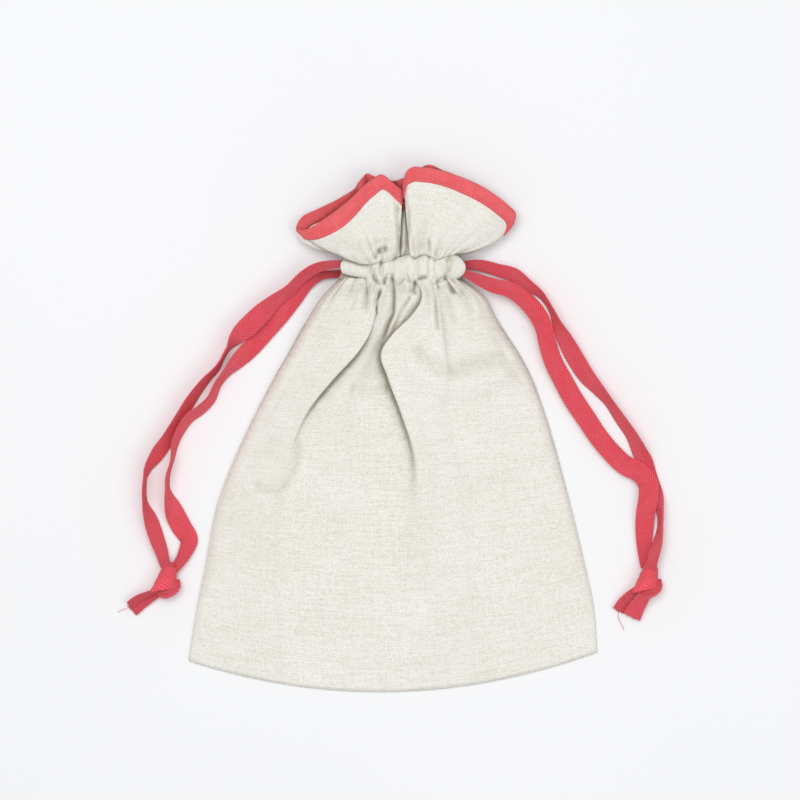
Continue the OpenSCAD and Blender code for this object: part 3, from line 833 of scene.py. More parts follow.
def pleat(u):
    # height from 0 in the creases to about 1 on the ridges, and a sideways lean
    i = np.clip(np.searchsorted(pleatEdges, u, side="right") - 1, 0, len(pleatHeights) - 1)
    q = np.clip((u - pleatEdges[i]) / (pleatEdges[i + 1] - pleatEdges[i]), 0, 1)
    return np.sin(math.pi * q) ** 0.75 * pleatHeights[i], np.sin(2 * math.pi * q) * pleatLeans[i]


waves = [(rng.uniform(0.05, 0.16) * rng.choice((-1, 1)), rng.uniform(0.03, 0.13) * rng.choice((-1, 1)),
          rng.uniform(0, 6.3), rng.uniform(0.05, 0.2)) for _ in range(14)]


def ripple(u, v):
    # the slight unevenness of cloth that has been folded and laid down
    total = 0
    for a, b, phase, height in waves:
        total = total + height * np.sin(a * u + b * v + phase)
    return total


def columnValues(level):
    (_, left, right, fold1, fold2, crease, tuck1, tuck2, edgeZ, leftZ, stripZ, recessZ, rightZ) = level
    deep1 = min(tuck1 / 3, 1)
    deep2 = min(tuck2 / 3, 1)
    span = fold2 - fold1
    even = [fold1 + span * f for f in (0.035, 0.16, 0.4, 0.63, 0.9, 0.975)]
    tucked = [fold1 - tuck1, fold1 + 0.3 * tuck1, (fold1 + crease) / 2 + 0.6, crease + 0.5,
              fold2 + tuck2, fold2 + 0.4 * tuck2]
    middle = [mix(e, t, d) for e, t, d in zip(even, tucked, (deep1, deep1, max(deep1, deep2), deep2, deep2, deep2))]
    fold3 = mix(fold2, right, 0.27) if level[0] < 20 else mix(26, 20.5, (level[0] - 27) / 47)
    x = [left, left + 2.5, mix(left, fold1, 0.33), mix(left, fold1, 0.66), fold1, middle[0], middle[1], middle[2],
         middle[3], middle[4], fold2, mix(fold2, fold3, 0.22), mix(fold2, fold3, 0.55), fold3,
         mix(fold3, right, 0.07), mix(fold3, right, 0.45), mix(fold3, right, 0.78), right - 2.5, right]
    rise = [0.45, 0.8, 0.95]
    z = [edgeZ, mix(edgeZ, leftZ, rise[0]), mix(edgeZ, leftZ, rise[1]), mix(edgeZ, leftZ, rise[2]), leftZ + 0.3 * deep1,
         mix(leftZ, stripZ, 0.85 * deep1 + 0.15) - 0.6 * deep1, stripZ, stripZ + 0.5 * deep1, recessZ,
         mix(rightZ, recessZ, 0.9), rightZ + 0.3 * deep2, rightZ + 0.15, rightZ, rightZ + 0.3 * smooth(level[0] / 30),
         rightZ - 1.1 * float(smooth((level[0] - 10) / 30)), mix(edgeZ, rightZ, 0.92),
         mix(edgeZ, rightZ, 0.75), mix(edgeZ, rightZ, 0.42), edgeZ]
    return x, z


def hemY(u, v):
    s = u / clothSetup["width"]
    k = (v - clothSetup["cornerY"]) / (clothSetup["neckY"] - clothSetup["cornerY"])
    low = 1 - np.clip(k, 0, 1)
    return v - clothSetup["hemBow"] * 4 * s * (1 - s) * low ** 2 + clothSetup["hemSkew"] * (s - 0.5) * low


def fromPath(x, y, path):
    # distance to a path of points, and how far along it the nearest place is
    path = np.array(path, float)
    steps = np.hypot(*np.diff(path, axis=0).T)
    starts = np.concatenate([[0], np.cumsum(steps)])         # how far along each corner is
    best, share = np.full_like(x, 1e9), np.zeros_like(x)
    for k, (a, b) in enumerate(zip(path[:-1], path[1:])):
        d = b - a
        t = np.clip(((x - a[0]) * d[0] + (y - a[1]) * d[1]) / (d @ d), 0, 1)
        distance = np.hypot(x - a[0] - t * d[0], y - a[1] - t * d[1])
        nearer = distance < best
        best = np.where(nearer, distance, best)
        share = np.where(nearer, (starts[k] + t * steps[k]) / starts[-1], share)
    return best, share


def softDent(x, y, path, width, depth):
    best, share = fromPath(x, y, path)
    return -depth * np.exp(-(best / width) ** 2) * smooth(share / 0.15 + 0.2) * smooth((1 - share) / 0.15 + 0.2)


# Lasting wrinkles of the body: half width, depth (less than 0 stands up), path.
bodyWrinkles = [
    (3.4, 3.4, [(10, 43), (15, 35), (22, 30.5), (31, 29), (45, 33), (60, 38)]),
    (5.5, -1.8, [(5, 33), (13, 26), (23, 21.5), (33, 20), (46, 24), (61, 30)]),
    (2.6, 1.9, [(-22, 21), (-12, 18.5), (-2, 20)]),
    (5.0, 0.8, [(-30, 26), (-14, 26), (-4, 28)]),
    (2.1, 2.1, [(-46, -4), (-47, -12), (-49, -21), (-53, -28), (-58, -31), (-66, -30), (-71, -25)]),
    (4.0, 0.9, [(-60, -2), (-66, -12), (-74, -22)]),
    (3.5, 0.8, [(13.4, -23), (12.6, -45), (13.8, -66), (15, -88)]),
    (5.0, 0.9, [(44, -10), (58, -3), (74, 6)]),
    (4.0, 0.8, [(38, -33), (58, -26), (81, -15)]),
    (6.0, 0.9, [(-30, 60), (-40, 40), (-52, 20)]),
]

# Gathers drawn by the pulled tape, from the ruffle over the strip and into the body: depth, half width, path.
neckCreases = [
    (2.3, 0.75, [(-11.6, 81.5), (-10.6, 78.5), (-10, 76.2), (-8, 73), (-5.6, 70.2)]),
    (1.6, 0.6, [(-5.2, 85.5), (-6, 81), (-5.5, 77), (-4.5, 74), (-4.5, 72), (-5.4, 70)]),
    (2.6, 0.7, [(-5.2, 71), (-6.5, 67.5), (-8.1, 64.5), (-8.5, 60), (-8.2, 55)]),
    (1.7, 0.6, [(-2, 77.5), (-3.6, 74.5), (-4.4, 71)]),
    (2.1, 0.65, [(-0.3, 82), (-0.5, 78.5), (-0.2, 75), (0.5, 70), (0.6, 65.4),
                (0.3, 57.5), (-2.6, 51.2), (-4.9, 43.3), (-6, 38)]),
    (1.6, 0.6, [(5.4, 80), (6.1, 77.3), (8.2, 73), (9, 69), (8.3, 65.4),
                (5.3, 60.7), (3, 55.9), (0.8, 51.2), (-1.6, 46.5)]),
    (1.4, 0.6, [(11, 83.5), (12, 80.3), (11.8, 77), (11.1, 74)]),
    (3.0, 0.8, [(11.3, 74.5), (10.8, 72), (10.3, 69), (10.8, 65.5)]),
    (1.6, 0.6, [(11, 73.2), (13.4, 74.7), (15.6, 75.3), (17.4, 74.6)]),
    (1.8, 0.75, [(17, 75), (19, 72), (20.6, 68), (21.2, 62), (21.8, 54), (23, 45)]),
    (1.7, 0.7, [(17.2, 97), (18, 92), (18, 88), (18.2, 82), (18.7, 77), (18.9, 73)]),
    (1.4, 0.65, [(21.6, 91), (21, 87), (20, 82), (19.6, 78), (19.4, 74)]),
    (2.0, 0.85, [(22.6, 80.2), (24.6, 81.2), (27.4, 84), (28.4, 86)]),
    (2.4, 0.75, [(28.5, 85), (28, 80.5), (27, 77), (25.8, 75), (22.5, 73.4), (20, 72.2)]),
    (2.2, 1.3, [(25.5, 75.3), (28.5, 71.5), (30.5, 66)]),
    (2.2, 1.3, [(20.4, 72.6), (21.8, 70.8), (23.4, 70.2)]),
    (2.3, 0.8, [(1.6, 118), (2.7, 108), (3.4, 98), (3.6, 91), (3.2, 87.5),
                (1.5, 85.4), (0.2, 83.6), (-1.5, 83), (-3.2, 81.4)]),
    (2.0, 0.7, [(6.6, 116), (7.4, 107), (7.4, 99), (6.9, 93), (6.6, 89.5), (5.5, 86), (4, 83.5), (3.1, 81.6)]),
    (1.2, 0.6, [(9.4, 97), (9.2, 90), (11, 84)]),
    (2.8, 1.0, [(-8.8, 83), (-8.2, 86), (-6.6, 88.4), (-4, 89.8), (-0.8, 90)]),
    (3.4, 1.3, [(-6.8, 87), (-4.8, 88.2), (-2.6, 88.4)]),
    (1.6, 1.2, [(-10.6, 73.4), (-12.2, 70), (-13.4, 65), (-14.2, 58)]),
    (0.8, 1.6, [(-13, 73), (-18, 66), (-22, 57)]),
    (0.9, 1.4, [(15, 64), (12, 61), (9, 57.5)]),
    (0.8, 1.3, [(33, 72), (38, 64), (41, 55)]),
    (0.7, 1.2, [(26, 68), (29, 58), (31, 49)]),
]


def creaseRelief(x, y):
    total = np.zeros_like(x)
    for depth, width, path in neckCreases:
        best, share = fromPath(x, y, path)
        ends = smooth(share / 0.22) * smooth((1 - share) / 0.22)
        total = total + ends * depth * (0.42 * np.exp(-((best - 2.6 * width) / (1.5 * width)) ** 2)
                                        - 1.15 * np.exp(-(best / (1.15 * width)) ** 1.25))
    return np.clip(total, -3.6, 1.5)


def backLift(v):
    # the back rises off the table to the neck
    return smooth((v - 61) / 13.5) * 5.6


def backGather(v):
    return smooth((v - 16) / 54) ** 1.5


def behindRecess(x):
    # the back's gathers are flatter where the front sinks between its two big folds
    return 1 - 0.75 * smooth((x + 15) / 5) * smooth((20 - x) / 5)


def frontBody(u, rowsV):
    xs, zs = [], []
    for level in frontLevels:
        x, z = columnValues(level)
        xs.append(x)
        zs.append(z)
    xs, zs = np.array(xs), np.array(zs)
    knots = frontLevels[:, 0]
    rowX = through(knots, xs, rowsV)
    rowZ = through(knots, zs, rowsV)
    points = np.zeros((len(rowsV), len(u), 3))
    ridge, lean = pleat(u)
    for i, v in enumerate(rowsV):
        x = through(columnPlaces, rowX[i], u)
        z = through(columnPlaces, rowZ[i], u)
        y = hemY((x - rowX[i][0]) / (rowX[i][-1] - rowX[i][0]) * clothSetup["width"], v)
        gather = float(smooth((v - 44) / 30))
        inner = smooth(u / 10) * smooth((clothSetup["width"] - u) / 10)
        middle = 1 - 0.75 * smooth((x + 14) / 4) * smooth((30 - x) / 4)          # here the creases below do it
        z = z + gather ** 2 * (2.9 * ridge - 1.6) * inner * middle
        z = z + 3.9 * np.exp(-((v - 73) / 4.6) ** 2) * inner
        x = x + gather ** 2 * 1.1 * lean * inner * middle
        calm = smooth(u / 16) * smooth((clothSetup["width"] - u) / 16) * float(smooth((v + 113.5) / 20))
        z = z + ripple(u, v) * 0.75 * calm
        for width, depth, path in bodyWrinkles:
            z = z + softDent(x, y, path, width, depth) * calm
        points[i, :, 0], points[i, :, 1], points[i, :, 2] = x, y, np.maximum(z, 1.0 + 1.1 * calm)
    near = smooth((points[:, :, 1] - 40) / 12)
    lowest = 1.1 + backLift(rowsV)[:, None] + backGather(rowsV)[:, None] * 2.7 * behindRecess(points[:, :, 0])
    creased = points[:, :, 2] + near * creaseRelief(points[:, :, 0], points[:, :, 1])
    points[:, :, 2] = np.where(near > 0, np.maximum(creased, np.minimum(lowest, points[:, :, 2])), points[:, :, 2])
    return points


def backBody(u, rowsV):
    points = np.zeros((len(rowsV), len(u), 3))
    left = through(frontLevels[:, 0], frontLevels[:, 1], rowsV)
    right = through(frontLevels[:, 0], frontLevels[:, 2], rowsV)
    edgeZ = through(frontLevels[:, 0], frontLevels[:, 8], rowsV)
    ridge, lean = pleat(u)
    s = u / clothSetup["width"]
    for i, v in enumerate(rowsV):
        gather = float(backGather(v))
        lift = float(backLift(v))
        inner = smooth(u / 12) * smooth((clothSetup["width"] - u) / 12)
        rim = np.clip(np.abs(2 * s - 1), 0, 1) ** 6
        x = mix(left[i], right[i], s) + gather * 1.6 * lean * inner
        z = mix(0.25 + lift, edgeZ[i] - 0.3, rim) + gather * (0.3 + 2.3 * ridge) * inner * behindRecess(x)
        z = z + (0.35 + ripple(u + 40, v * 1.3) * 0.2) * inner * float(smooth((v + 113.5) / 16))
        points[i, :, 0], points[i, :, 1], points[i, :, 2] = x, hemY(u, v), np.maximum(z, 0.15)
    return points


# The ruffle is a tube of cloth. Round it from the left seam over the front to the right seam and back underneath:
# place round the cloth, root x, root height, then the mouth's x, y and height.
ruffleRing = np.array([
    (0, -21.5, 9.5, -48, 99.5, 7.5), (10, -19, 12, -43.5, 98.4, 12), (25, -14.5, 13.2, -33.7, 103.9, 14.5),
    (45, -9, 13.2, -22.5, 112.2, 15.2), (66, -3.5, 13.2, -10, 123.4, 15.5), (74, -1, 12.9, -5.2, 125.8, 15.2),
    (81, 1.8, 12.6, 0.6, 121.3, 13.8), (85.5, 3.4, 11.2, 4.4, 117.4, 11), (89.5, 1.8, 9.8, -5.5, 118.4, 8.6),
    (93, 4.4, 9.2, 5, 115.4, 7.2), (96, 6.2, 9.8, 6.6, 117.2, 7.8), (100, 10.4, 9.8, 16, 119, 9),
    (103.8, 8.4, 11.4, 5.8, 119.8, 11.4), (107.5, 8.6, 12.8, 6.3, 126.2, 14.8), (113, 10.4, 13.2, 9.2, 129.1, 15.8),
    (122, 12.5, 13.2, 15, 129.2, 15.4),
    (140, 17.5, 13.2, 29, 126.2, 15), (160, 23, 13, 44, 120, 14), (180, 28, 12.6, 56.5, 111.3, 11.8),
    (194, 31.5, 11, 61.0, 106, 9), (204, 33.5, 9.5, 58.8, 101, 6.8), (212, 32, 7.4, 60.2, 105.2, 4.2),
    (224, 28.5, 6, 56.8, 111.3, 2.2), (244, 23.5, 5.6, 43.4, 120.4, 1.6), (262, 18.5, 5.6, 29, 126.9, 2.2),
    (274, 15, 5.6, 21.2, 130, 4.5), (282, 13, 5.6, 17.6, 131, 6), (290, 11, 5.6, 13.6, 129.8, 5.6),
    (300, 8.5, 5.6, 8, 126, 4.2), (312, 5.5, 5.6, 3, 123.7, 3.4), (326, 2, 5.6, -3, 123.4, 3.8),
    (338, -1.5, 5.6, -9, 125, 5), (346, -4, 5.6, -12.8, 126.9, 6.2), (352, -5.5, 5.6, -15.1, 125, 5.2),
    (360, -8, 5.6, -17.6, 120.9, 3.4), (374, -12, 5.6, -27, 114.6, 2), (390, -17, 6, -37.6, 109.4, 2.4),
    (400, -20, 7.4, -45.4, 105.2, 4.2), (408, -21.5, 9.5, -48, 99.5, 7.5)])
ringLength = 408.0
halfRing = ringLength / 2          # the front's share of the way round


def ringAt(theta):
    # the closed ring is repeated at both ends so that the seams stay smooth
    before = ruffleRing[-5:-1].copy()
    before[:, 0] -= ringLength
    after = ruffleRing[1:5].copy()
    after[:, 0] += ringLength
    table = np.concatenate([before, ruffleRing, after])
    return through(table[:, 0], table[:, 1:], theta)


# Where the front's gathers start above the strip: place round the cloth, how far they hang down over it, how far up.
rootHang = np.array([
    (0, 0, 0), (12, -1.2, 1.2), (25, -3.4, 3.4), (36, -5, 5.2), (45, -4.4, 5), (56, -3.4, 4.4), (66, -4, 4.8),
    (75, -2.6, 3.4), (82, -0.8, 1.6), (90, -0.2, 1.2), (104, 0, 1.8), (117, -1.2, 3.4), (128, 0.2, 2.4), (141, -0.2, 3),
    (151, -2.4, 4.2), (162, -1.8, 3.4), (174, -0.6, 2), (190, 0, 0.4), (204, 0, 0), (408, 0, 0)])


rippleSetup = {"start": 212, "end": 368, "lift": 3.0, "height": 2.4, "pitch": 15.5}
flapSetup = {"place": 26, "half": 17, "down": 46, "up": 40}      # the left flap hangs over the strip
ruffleGrooves = ((128, 4.5, 1.3), (146, 5, 1.0), (60, 5, 0.5))   # place, half width, depth


def rootAndMouth(theta):
    ring = ringAt(theta)
    return np.stack([ring[:, 0], np.full(len(theta), float(clothSetup["rootY"])), ring[:, 1]], axis=1), ring[:, 2:5]


def ruffleSurface(theta, w):
    # theta is an array round the ruffle, w goes from 0 at the neck to 1 at the mouth
    root, mouth = rootAndMouth(theta)
    root[:, 1:3] += through(rootHang[:, 0], rootHang[:, 1:], theta)
    seamGap = np.minimum(np.minimum(theta, np.abs(theta - halfRing)), ringLength - theta)
    side = np.exp(-(seamGap / 16) ** 2)[:, None]
    middle = mix(root, mouth, 0.5)
    turned = theta[:, None]
    leftRight = (turned % ringLength < halfRing / 2) * 1.0 + (turned > ringLength * 0.75) * 1.0
    pull = mix(np.array([[16.0, -3.8, 0.0]]), np.array([[-14.0, -3.6, 0.0]]), leftRight) * np.array([[0.32, 1, 1]])
    middle = middle + side * pull
    onFront = np.where(theta <= halfRing, 1.0, -1.0)
    puff = (1 - np.exp(-(seamGap / 22) ** 2)) * onFront
    middle[:, 2] += puff * np.where(onFront > 0, 2.4, 0.6)
    line = (1 - w) ** 2 * root + 2 * w * (1 - w) * middle + w * w * mouth
    flap = np.exp(-((theta - flapSetup["place"]) / flapSetup["half"]) ** 2)
    drape = np.where(onFront > 0, flap, 0) * w * (1 - w) ** 3
    line[:, 1] -= flapSetup["down"] * drape
    line[:, 2] += flapSetup["up"] * drape
    u = np.where(theta <= halfRing, theta, ringLength - theta)
    ridge, lean = pleat(u)
    inner = smooth(seamGap / 10)
    fade = (1 - smooth(w / 0.75)) ** 1.3
    drawn = np.where(theta <= halfRing, 1 - 0.7 * smooth((u - 48) / 10) * smooth((186 - u) / 10), 1.7)
    line[:, 2] += fade * inner * drawn * np.where(onFront > 0, 2.5 * ridge - 1.3, 2.5 * ridge - 0.4)
    line[:, 0] += fade * inner * 0.9 * lean * drawn
    line[:, 2] += np.where(onFront > 0, 3.3, 0) * inner * np.exp(-((line[:, 1] - 86.6) / 4.6) ** 2)
    grooves = sum(np.exp(-((u - place) / half) ** 2) * depth for place, half, depth in ruffleGrooves)
    line[:, 2] -= onFront * grooves * inner * (1 - smooth((w - 0.15) / 0.8)) * 1.2
    line[:, 2] += ripple(u * 1.7, w * 60 + 10) * 0.5 * inner * w
    # what the neck gathers in leaves the back of the mouth rippled
    past = theta - rippleSetup["start"]
    waved = smooth(past / 14) * smooth((rippleSetup["end"] - theta) / 14) * w ** 2
    swing = np.sin(2 * math.pi * past / rippleSetup["pitch"])
    line[:, 2] += waved * (rippleSetup["lift"] + rippleSetup["height"] * swing)
    relief = np.where(onFront > 0, creaseRelief(line[:, 0], line[:, 1]), 0)
    line[:, 2] += relief * inner * smooth((115 - line[:, 1]) / 8)
    return line


def frontRuffle(u, ws):
    return np.stack([ruffleSurface(u, w) for w in ws])


def backRuffle(u, ws):
    return np.stack([ruffleSurface(ringLength - u, w) for w in ws])


def neckBridge(lowRow, highRow, count, deepest):
    # under the strips the cloth lies close to the passage
    ks = np.linspace(0, 1, count + 2)[1:-1]
    rows = np.stack([mix(lowRow, highRow, k) for k in ks])
    middle = np.full_like(rows[:, :, 2], deepest)
    rows[:, :, 2] = mix(rows[:, :, 2], middle, (np.sin(math.pi * ks) ** 0.5)[:, None])
    return rows


def clothUv(points):
    # length of cloth up the columns, so the weave keeps its size
    return np.concatenate([[0], np.cumsum(np.linalg.norm(np.diff(points, axis=0), axis=2).mean(axis=1))])[:, None]


bindingSetup = {
    "width": 7.3,              # along the cloth, on each face
    "thickness": 0.55,
    "wall": 0.4,
    "around": 300,
}


def mouthLength(theta):
    # the cloth bows a little between the neck and the mouth
    root, mouth = rootAndMouth(theta)
    return np.linalg.norm(mouth - root, axis=1) * 1.05


def makeCloth(name, bodyRows, ruffleRows, facingDown):
    u = np.linspace(0, clothSetup["width"], clothSetup["columns"])
    levels = np.linspace(0, 1, clothSetup["bodyRows"])
    rowsV = mix(clothSetup["cornerY"], clothSetup["neckY"], 1 - (1 - levels) ** clothSetup["rowSpread"])
    ws = np.linspace(0, 1, clothSetup["ruffleRows"]) * 0.985
    body = bodyRows(u, rowsV)
    ruffle = ruffleRows(u, ws)
    neck = neckBridge(body[-1], ruffle[0], clothSetup["neckRows"], clothSetup["neckHeight"][int(facingDown)])
    points = np.concatenate([body, neck, ruffle])
    uv = np.zeros(points.shape[:2] + (2,))
    uv[:, :, 0] = u[None, :]
    uv[:, :, 1] = clothUv(points)
    piece = gridPiece(name, points, uv, linen, facingDown=facingDown)
    thicken(piece, clothSetup["thickness"])
    return piece, points


frontCloth, frontPoints = makeCloth("frontCloth", frontBody, frontRuffle, False)
backCloth, backPoints = makeCloth("backCloth", backBody, backRuffle, True)
print("stage: front and back cloth", len(frontCloth.data.polygons))


def makeBindingRing():
    theta = np.linspace(0, ringLength, bindingSetup["around"], endpoint=False)
    length = mouthLength(theta)
    lows = [k * bindingSetup["width"] for k in (1.0, 0.9, 0.74, 0.58, 0.41, 0.25, 0.11, 0.0)]
    grids = []
    for low in lows:
        w = 1 - low / length
        grids.append(np.stack([ruffleSurface(theta[k:k + 1], w[k])[0] for k in range(len(theta))]))
    grids = np.stack(grids)                                   # from the lower edge to the mouth edge
    aroundStep = np.roll(grids, -1, axis=1) - np.roll(grids, 1, axis=1)
    upStep = np.gradient(grids, axis=0)
    normal = np.cross(aroundStep, upStep)
    normal /= np.linalg.norm(normal, axis=2)[:, :, None]
    up = upStep / np.linalg.norm(upStep, axis=2)[:, :, None]
    t = bindingSetup["thickness"]
    cloth = clothSetup["thickness"]
    outer = grids + normal * (t * 0.9)
    outer[0] = grids[0] + normal[0] * 0.1
    top = grids[-1] + up[-1] * 0.55 - normal[-1] * cloth * 0.5
    innerEdge = grids[-1] + up[-1] * 0.2 - normal[-1] * (cloth + t)
    inner = (grids - normal * (cloth + t * 0.9))[::-1]
    rows = np.concatenate([outer, top[None], innerEdge[None], inner[:-1]])
    uv = np.zeros(rows.shape[:2] + (2,))
    uv[:, :, 0] = theta[None, :]
    uv[:, :, 1] = clothUv(rows)
    piece = gridPiece("mouthBinding", rows, uv, bindingCloth, closedAcross=True)
    thicken(piece, bindingSetup["wall"])
    return piece


mouthBinding = makeBindingRing()


# A stitch from end to end: place along it, thickness, and how high it stands, as shares.
threadShape = ((-0.5, 0.15, -0.5), (-0.38, 0.8, 0.25), (-0.12, 1.0, 0.6), (0.12, 1.0, 0.6), (0.38, 0.8, 0.25),
               (0.5, 0.15, -0.5))


def stitchMesh(name, places, directions, normals, length, width, height, material):
    # each stitch is a short rounded thread lying on the cloth
    points, faces, uvs = [], [], []
    for at, along, up in zip(places, directions, normals):
        along = unit(along)
        up = unit(up - along * (up @ along))
        across = np.cross(up, along)
        base = len(points)
        for place, size, lift in threadShape:
            for j in range(6):
                a = 2 * math.pi * j / 6
                points.append(at + along * place * length + across * math.cos(a) * width / 2 * size
                              + up * (math.sin(a) * height / 2 * size + lift * height / 2))
        for k in range(len(threadShape) - 1):
            for j in range(6):
                m = (j + 1) % 6
                faces.append([base + k * 6 + j, base + (k + 1) * 6 + j, base + (k + 1) * 6 + m, base + k * 6 + m])
                uvs.extend([(j * 0.1, k * 0.4), (j * 0.1, k * 0.4 + 0.4), (m * 0.1, k * 0.4 + 0.4), (m * 0.1, k * 0.4)])
        for face in ([base + j for j in range(6)], [base + (len(threadShape) - 1) * 6 + j for j in range(5, -1, -1)]):
            faces.append(face)
            uvs.extend([(0, 0)] * 6)
    piece = meshFrom(name, points, faces, uvs, material)
    faceOutwards(piece)
    return piece


def stitchPlaces(line, pitch):
    run = runAlong(line)
    wanted = (np.arange(int(run[-1] / pitch)) + 0.5) * pitch
    return np.clip(np.searchsorted(run, wanted), 1, len(line) - 2)


def stitchRow(name, line, normal, setup):
    ks = stitchPlaces(line, setup["pitch"])
    return stitchMesh(name, line[ks], line[ks + 1] - line[ks - 1], np.tile(normal, (len(ks), 1)),
                      setup["length"], setup["width"], setup["height"], naturalThread)


stitchSetup = {"pitch": 2.5, "length": 2.0, "width": 0.75, "height": 0.6, "fromEdge": 1.9}


def makeBindingStitches():
    dense = np.linspace(2, 202, 900)
    length = mouthLength(dense)
    w = 1 - (bindingSetup["width"] - stitchSetup["fromEdge"]) / length
    line = np.stack([ruffleSurface(dense[k:k + 1], w[k])[0] for k in range(len(dense))])
    above = np.stack([ruffleSurface(dense[k:k + 1], w[k] + 0.03)[0] for k in range(len(dense))])
    ks = stitchPlaces(line, stitchSetup["pitch"])
    along = line[ks + 1] - line[ks - 1]
    normals = unit(np.cross(along, above[ks] - line[ks]))
    places = line[ks] + normals * bindingSetup["thickness"] * 0.9
    return stitchMesh("bindingStitches", places, along, normals, stitchSetup["length"], stitchSetup["width"],
                      stitchSetup["height"], coralThread)


bindingStitches = makeBindingStitches()
print("stage: mouth binding", len(mouthBinding.data.polygons))

# Casing strips.
casingSetup = {
    "stations": 210,
    "around": 40,
    "thickness": 0.55,
    "front": (15.2, 3.6),      # middle height and half height
    "back": (3.5, 3.0),
    "flat": (27, 190),         # round the strip and along it, for the weave
}

# Front strip: x, lower edge, upper edge and how far it stands up, as the gathers leave it.
stripShape = np.array([
    (-25, 77.6, 83.6, 2.7), (-22, 76.6, 84.8, 3.1), (-18, 75.8, 85, 3.3), (-14, 74.8, 84.4, 3.1),
    (-11.2, 73.4, 84.6, 2.7), (-9.6, 74.6, 84.8, 3.0), (-7.6, 72.4, 84, 3.7), (-5.5, 70.6, 84.6, 2.7),
    (-4.2, 73.2, 84.4, 3.3), (-2.6, 74.8, 84.8, 3.8), (-0.4, 74.8, 85, 2.7), (1.2, 72.6, 85, 3.3),
    (3.2, 72.2, 84.8, 3.9), (5.6, 74.4, 85.6, 3.0), (8.4, 73.2, 85.8, 3.8), (11, 73.2, 84.6, 2.7),
    (13.6, 74.5, 85.8, 3.9), (16.4, 74.8, 86, 3.7), (18.5, 73, 85.8, 2.6), (20.2, 72.4, 85.2, 2.9),
    (23.4, 73.4, 84.8, 3.7), (26, 74.8, 85.2, 3.3), (27.8, 74.4, 85.4, 2.8), (31, 74.8, 85.8, 3.4),
    (33.4, 75.8, 84.4, 3.1), (35, 77.2, 82.6, 2.6)])


def casingTube(name, centreZ, halfZ, flip):
    left, right = exitLeft, exitRight
    xs = np.linspace(left, right, casingSetup["stations"])
    f = (xs - left) / (right - left)
    ridge, lean = pleat(f * clothSetup["width"])
    ends = smooth(f / 0.24) * smooth((1 - f) / 0.14)           # the open ends are smooth, the middle is gathered
    angles = wholeTurn(casingSetup["around"])
    ringY = np.sign(np.cos(angles)) * np.abs(np.cos(angles)) ** 0.9
    ringZ = np.sign(np.sin(angles)) * np.abs(np.sin(angles)) ** 0.9
    points = np.zeros((len(xs), len(angles), 3))
    front = flip > 0
    outer = np.sin(angles) * flip > 0
    for i, x in enumerate(xs):
        r = ridge[i] * (0.25 if front else 1.0)
        atLeft = float(np.exp(-((x - left) / 5.5) ** 2))
        atRight = float(np.exp(-((x - right) / 4.5) ** 2))
        halfY = mix(5.0, 6.0 + 0.4 * r, ends[i]) - 1.7 * atLeft - 1.0 * atRight
        midY = casingMiddle - 0.1 + 0.9 * atLeft + 0.3 * atRight + ends[i] * 0.35 * math.sin(f[i] * 37)
        if front:
            low, top, up = through(stripShape[:, 0], stripShape[:, 1:], np.array([x]))[0]
            midY, halfY = (low + top) / 2, (top - low) / 2 + 0.4
        high = up if front else halfZ * mix(0.9, 0.82 + 0.3 * r, ends[i]) - 0.35 * (atLeft + atRight)
        squeeze = np.where(outer, high, halfZ * 0.85)
        z = centreZ + ringZ * squeeze
        pinch = ends[i] * np.exp(-((np.abs(ringY) - 0.86) / 0.12) ** 2) * (0.4 if front else 0.7) * flip
        z = z - np.where(outer, pinch, 0)
        points[i, :, 0] = x + ends[i] * lean[i] * 0.9 * ringY + (1 - ringY ** 2) * (0.9 * atRight - 0.9 * atLeft)
        points[i, :, 1] = midY + ringY * halfY
        points[i, :, 2] = z
    if front:
        deep = np.clip(creaseRelief(points[:, :, 0], points[:, :, 1]), -2.1, 1.2)
        deep = deep * np.maximum(ringZ, 0)[None, :] ** 0.3
        points[:, :, 2] += deep * ends[:, None] ** 0.5
        # at the lower and upper edges the folds draw the strip in and out
        points[:, :, 1] += 0.22 * deep * np.where(np.abs(ringY) > 0.6, np.sign(ringY), 0)[None, :] * ends[:, None]
    uv = np.zeros(points.shape[:2] + (2,))
    uv[:, :, 0] = np.linspace(0, casingSetup["flat"][0], len(angles))[None, :]
    uv[:, :, 1] = (f * casingSetup["flat"][1])[:, None]
    piece = gridPiece(name, points, uv, linen, closedAcross=True)
    faceOutwards(piece)
    thicken(piece, casingSetup["thickness"])
    return piece, points


frontCasing, frontTube = casingTube("frontCasing", *casingSetup["front"], 1)
backCasing, backTube = casingTube("backCasing", *casingSetup["back"], -1)

casingStitchSetup = {"pitch": 2.7, "length": 1.9, "width": 0.42, "height": 0.34}


def casingStitches(name, tube, place, flip):
    # one row along the strip, on its outer face
    angles = wholeTurn(casingSetup["around"])
    j = int(np.argmin(np.abs(np.angle(np.exp(1j * (angles - place))))))
    return stitchRow(name, tube[:, j, :], (0, 0.15, flip * 1.0), casingStitchSetup)


casingThreads = {
    "frontCasingUpperStitches": ("front_casing_upper_stitching", frontTube, 0.62, 1),
    "frontCasingLowerStitches": ("front_casing_lower_stitching", frontTube, math.pi - 0.62, 1),
    "backCasingUpperStitches": ("back_casing_upper_stitching", backTube, -0.62, -1),
    "backCasingLowerStitches": ("back_casing_lower_stitching", backTube, math.pi + 0.62, -1),
}
for name, (node, tube, place, flip) in casingThreads.items():
    row = casingStitches(name, tube, place, flip)
    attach(row, "pouch")
    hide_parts(node)
print("stage: casing strips and stitches")


seamSetup = {"pitch": 3.0, "length": 2.1, "width": 0.45, "height": 0.45}

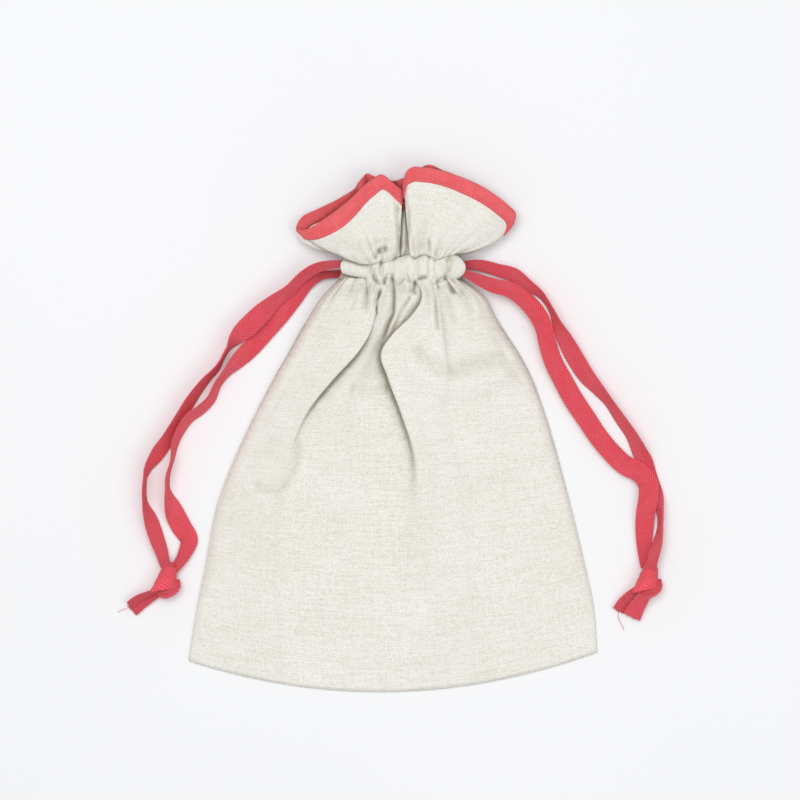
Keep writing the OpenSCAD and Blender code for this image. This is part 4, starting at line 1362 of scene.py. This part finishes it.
# seam threads lie inside the turned edges, between the front and back cloth
bodyCount = clothSetup["bodyRows"]
between = (frontPoints + backPoints) / 2
sideRows = slice(2, bodyCount - 14)
ruffleRows = slice(bodyCount + 20, -14)
seams = {
    "leftSideSeam": ("left_side_seam", between[sideRows, 0], "pouch"),
    "rightSideSeam": ("right_side_seam", between[sideRows, -1], "pouch"),
    "bottomSeam": ("bottom_seam", between[0, 2:-2], "pouch"),
    "leftRuffleSeam": ("left_ruffle_seam", between[ruffleRows, 0], "ruffle"),
    "rightRuffleSeam": ("right_ruffle_seam", between[ruffleRows, -1], "ruffle"),
}
for name, (node, line, body) in seams.items():
    row = stitchRow(name, line, (0, 0, 1.0), seamSetup)
    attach(row, body)
    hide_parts(node)
print("stage: seams")

# Painted shade in the hollows.
# Linen looks darker down in a crease, so that shade is painted into the colour: each place is compared with the cloth
# around it.
paintedShadeSetup = {"cell": 0.5, "near": 1.2, "far": 3.4, "nearDepth": 1.6, "farDepth": 6.8}


def blurred(field, sigma):
    reach = int(3 * sigma) + 1
    kernel = np.exp(-0.5 * (np.arange(-reach, reach + 1) / sigma) ** 2)
    kernel /= kernel.sum()
    for axis in (0, 1):
        field = np.apply_along_axis(lambda r: np.convolve(np.pad(r, reach, mode="edge"), kernel, "valid"), axis, field)
    return field


def paintHollowShade(pieces, setup):
    cell = setup["cell"]
    spots = {}
    for piece in pieces:
        co = np.zeros(len(piece.data.vertices) * 3, np.float32)
        piece.data.vertices.foreach_get("co", co)
        spots[piece.name] = co.reshape(-1, 3) / mm
    every = np.concatenate(list(spots.values()))
    low = every.min(axis=0) - 6
    size = np.ceil((every.max(axis=0) + 6 - low)[:2] / cell).astype(int) + 1
    top = np.full(size, -1.0)
    place = ((every[:, :2] - low[:2]) / cell).round().astype(int)
    np.maximum.at(top, (place[:, 0], place[:, 1]), every[:, 2])
    for _ in range(4):                                       # fill the cells that no point fell in
        grown = np.maximum.reduce([np.roll(top, (a, b), (0, 1)) for a in (-1, 0, 1) for b in (-1, 0, 1)])
        top = np.where(top < 0, grown, top)
    covered = (top >= 0).astype(float)
    top = np.maximum(top, 0)
    tones = [(blurred(top, sigma / cell) / np.maximum(blurred(covered, sigma / cell), 0.05), depth)
             for sigma, depth in ((setup["near"], setup["nearDepth"]), (setup["far"], setup["farDepth"]))]
    for piece in pieces:
        points = spots[piece.name]
        place = ((points[:, :2] - low[:2]) / cell).round().astype(int)
        tone = np.zeros(len(points))
        # painted shade: the further a place lies below the blurred cloth around it, the darker it is painted
        for mean, depth in tones:
            tone += 0.55 * np.clip((mean[place[:, 0], place[:, 1]] - points[:, 2]) / depth, 0, 1) ** 1.2
        attribute = piece.data.attributes.new("paintedHollowShade", "FLOAT", "POINT")
        attribute.data.foreach_set("value", np.clip(tone, 0, 1).astype(np.float32))


paintHollowShade([frontCloth, frontCasing, mouthBinding], paintedShadeSetup)

# Riding.
for piece, nodes, strip in ((frontCloth, ("front_panel", "front_ruffle"), frontCasing),
                            (backCloth, ("back_panel", "back_ruffle"), backCasing)):
    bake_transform(piece)
    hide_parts(*nodes)
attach(mouthBinding, "ruffle")
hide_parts("front_binding", "back_binding")
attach(bindingStitches, "ruffle")
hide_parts("binding_stitching")
for piece, node in ((frontCasing, "front_casing"), (backCasing, "back_casing")):
    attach(piece, "pouch")
    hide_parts(node)
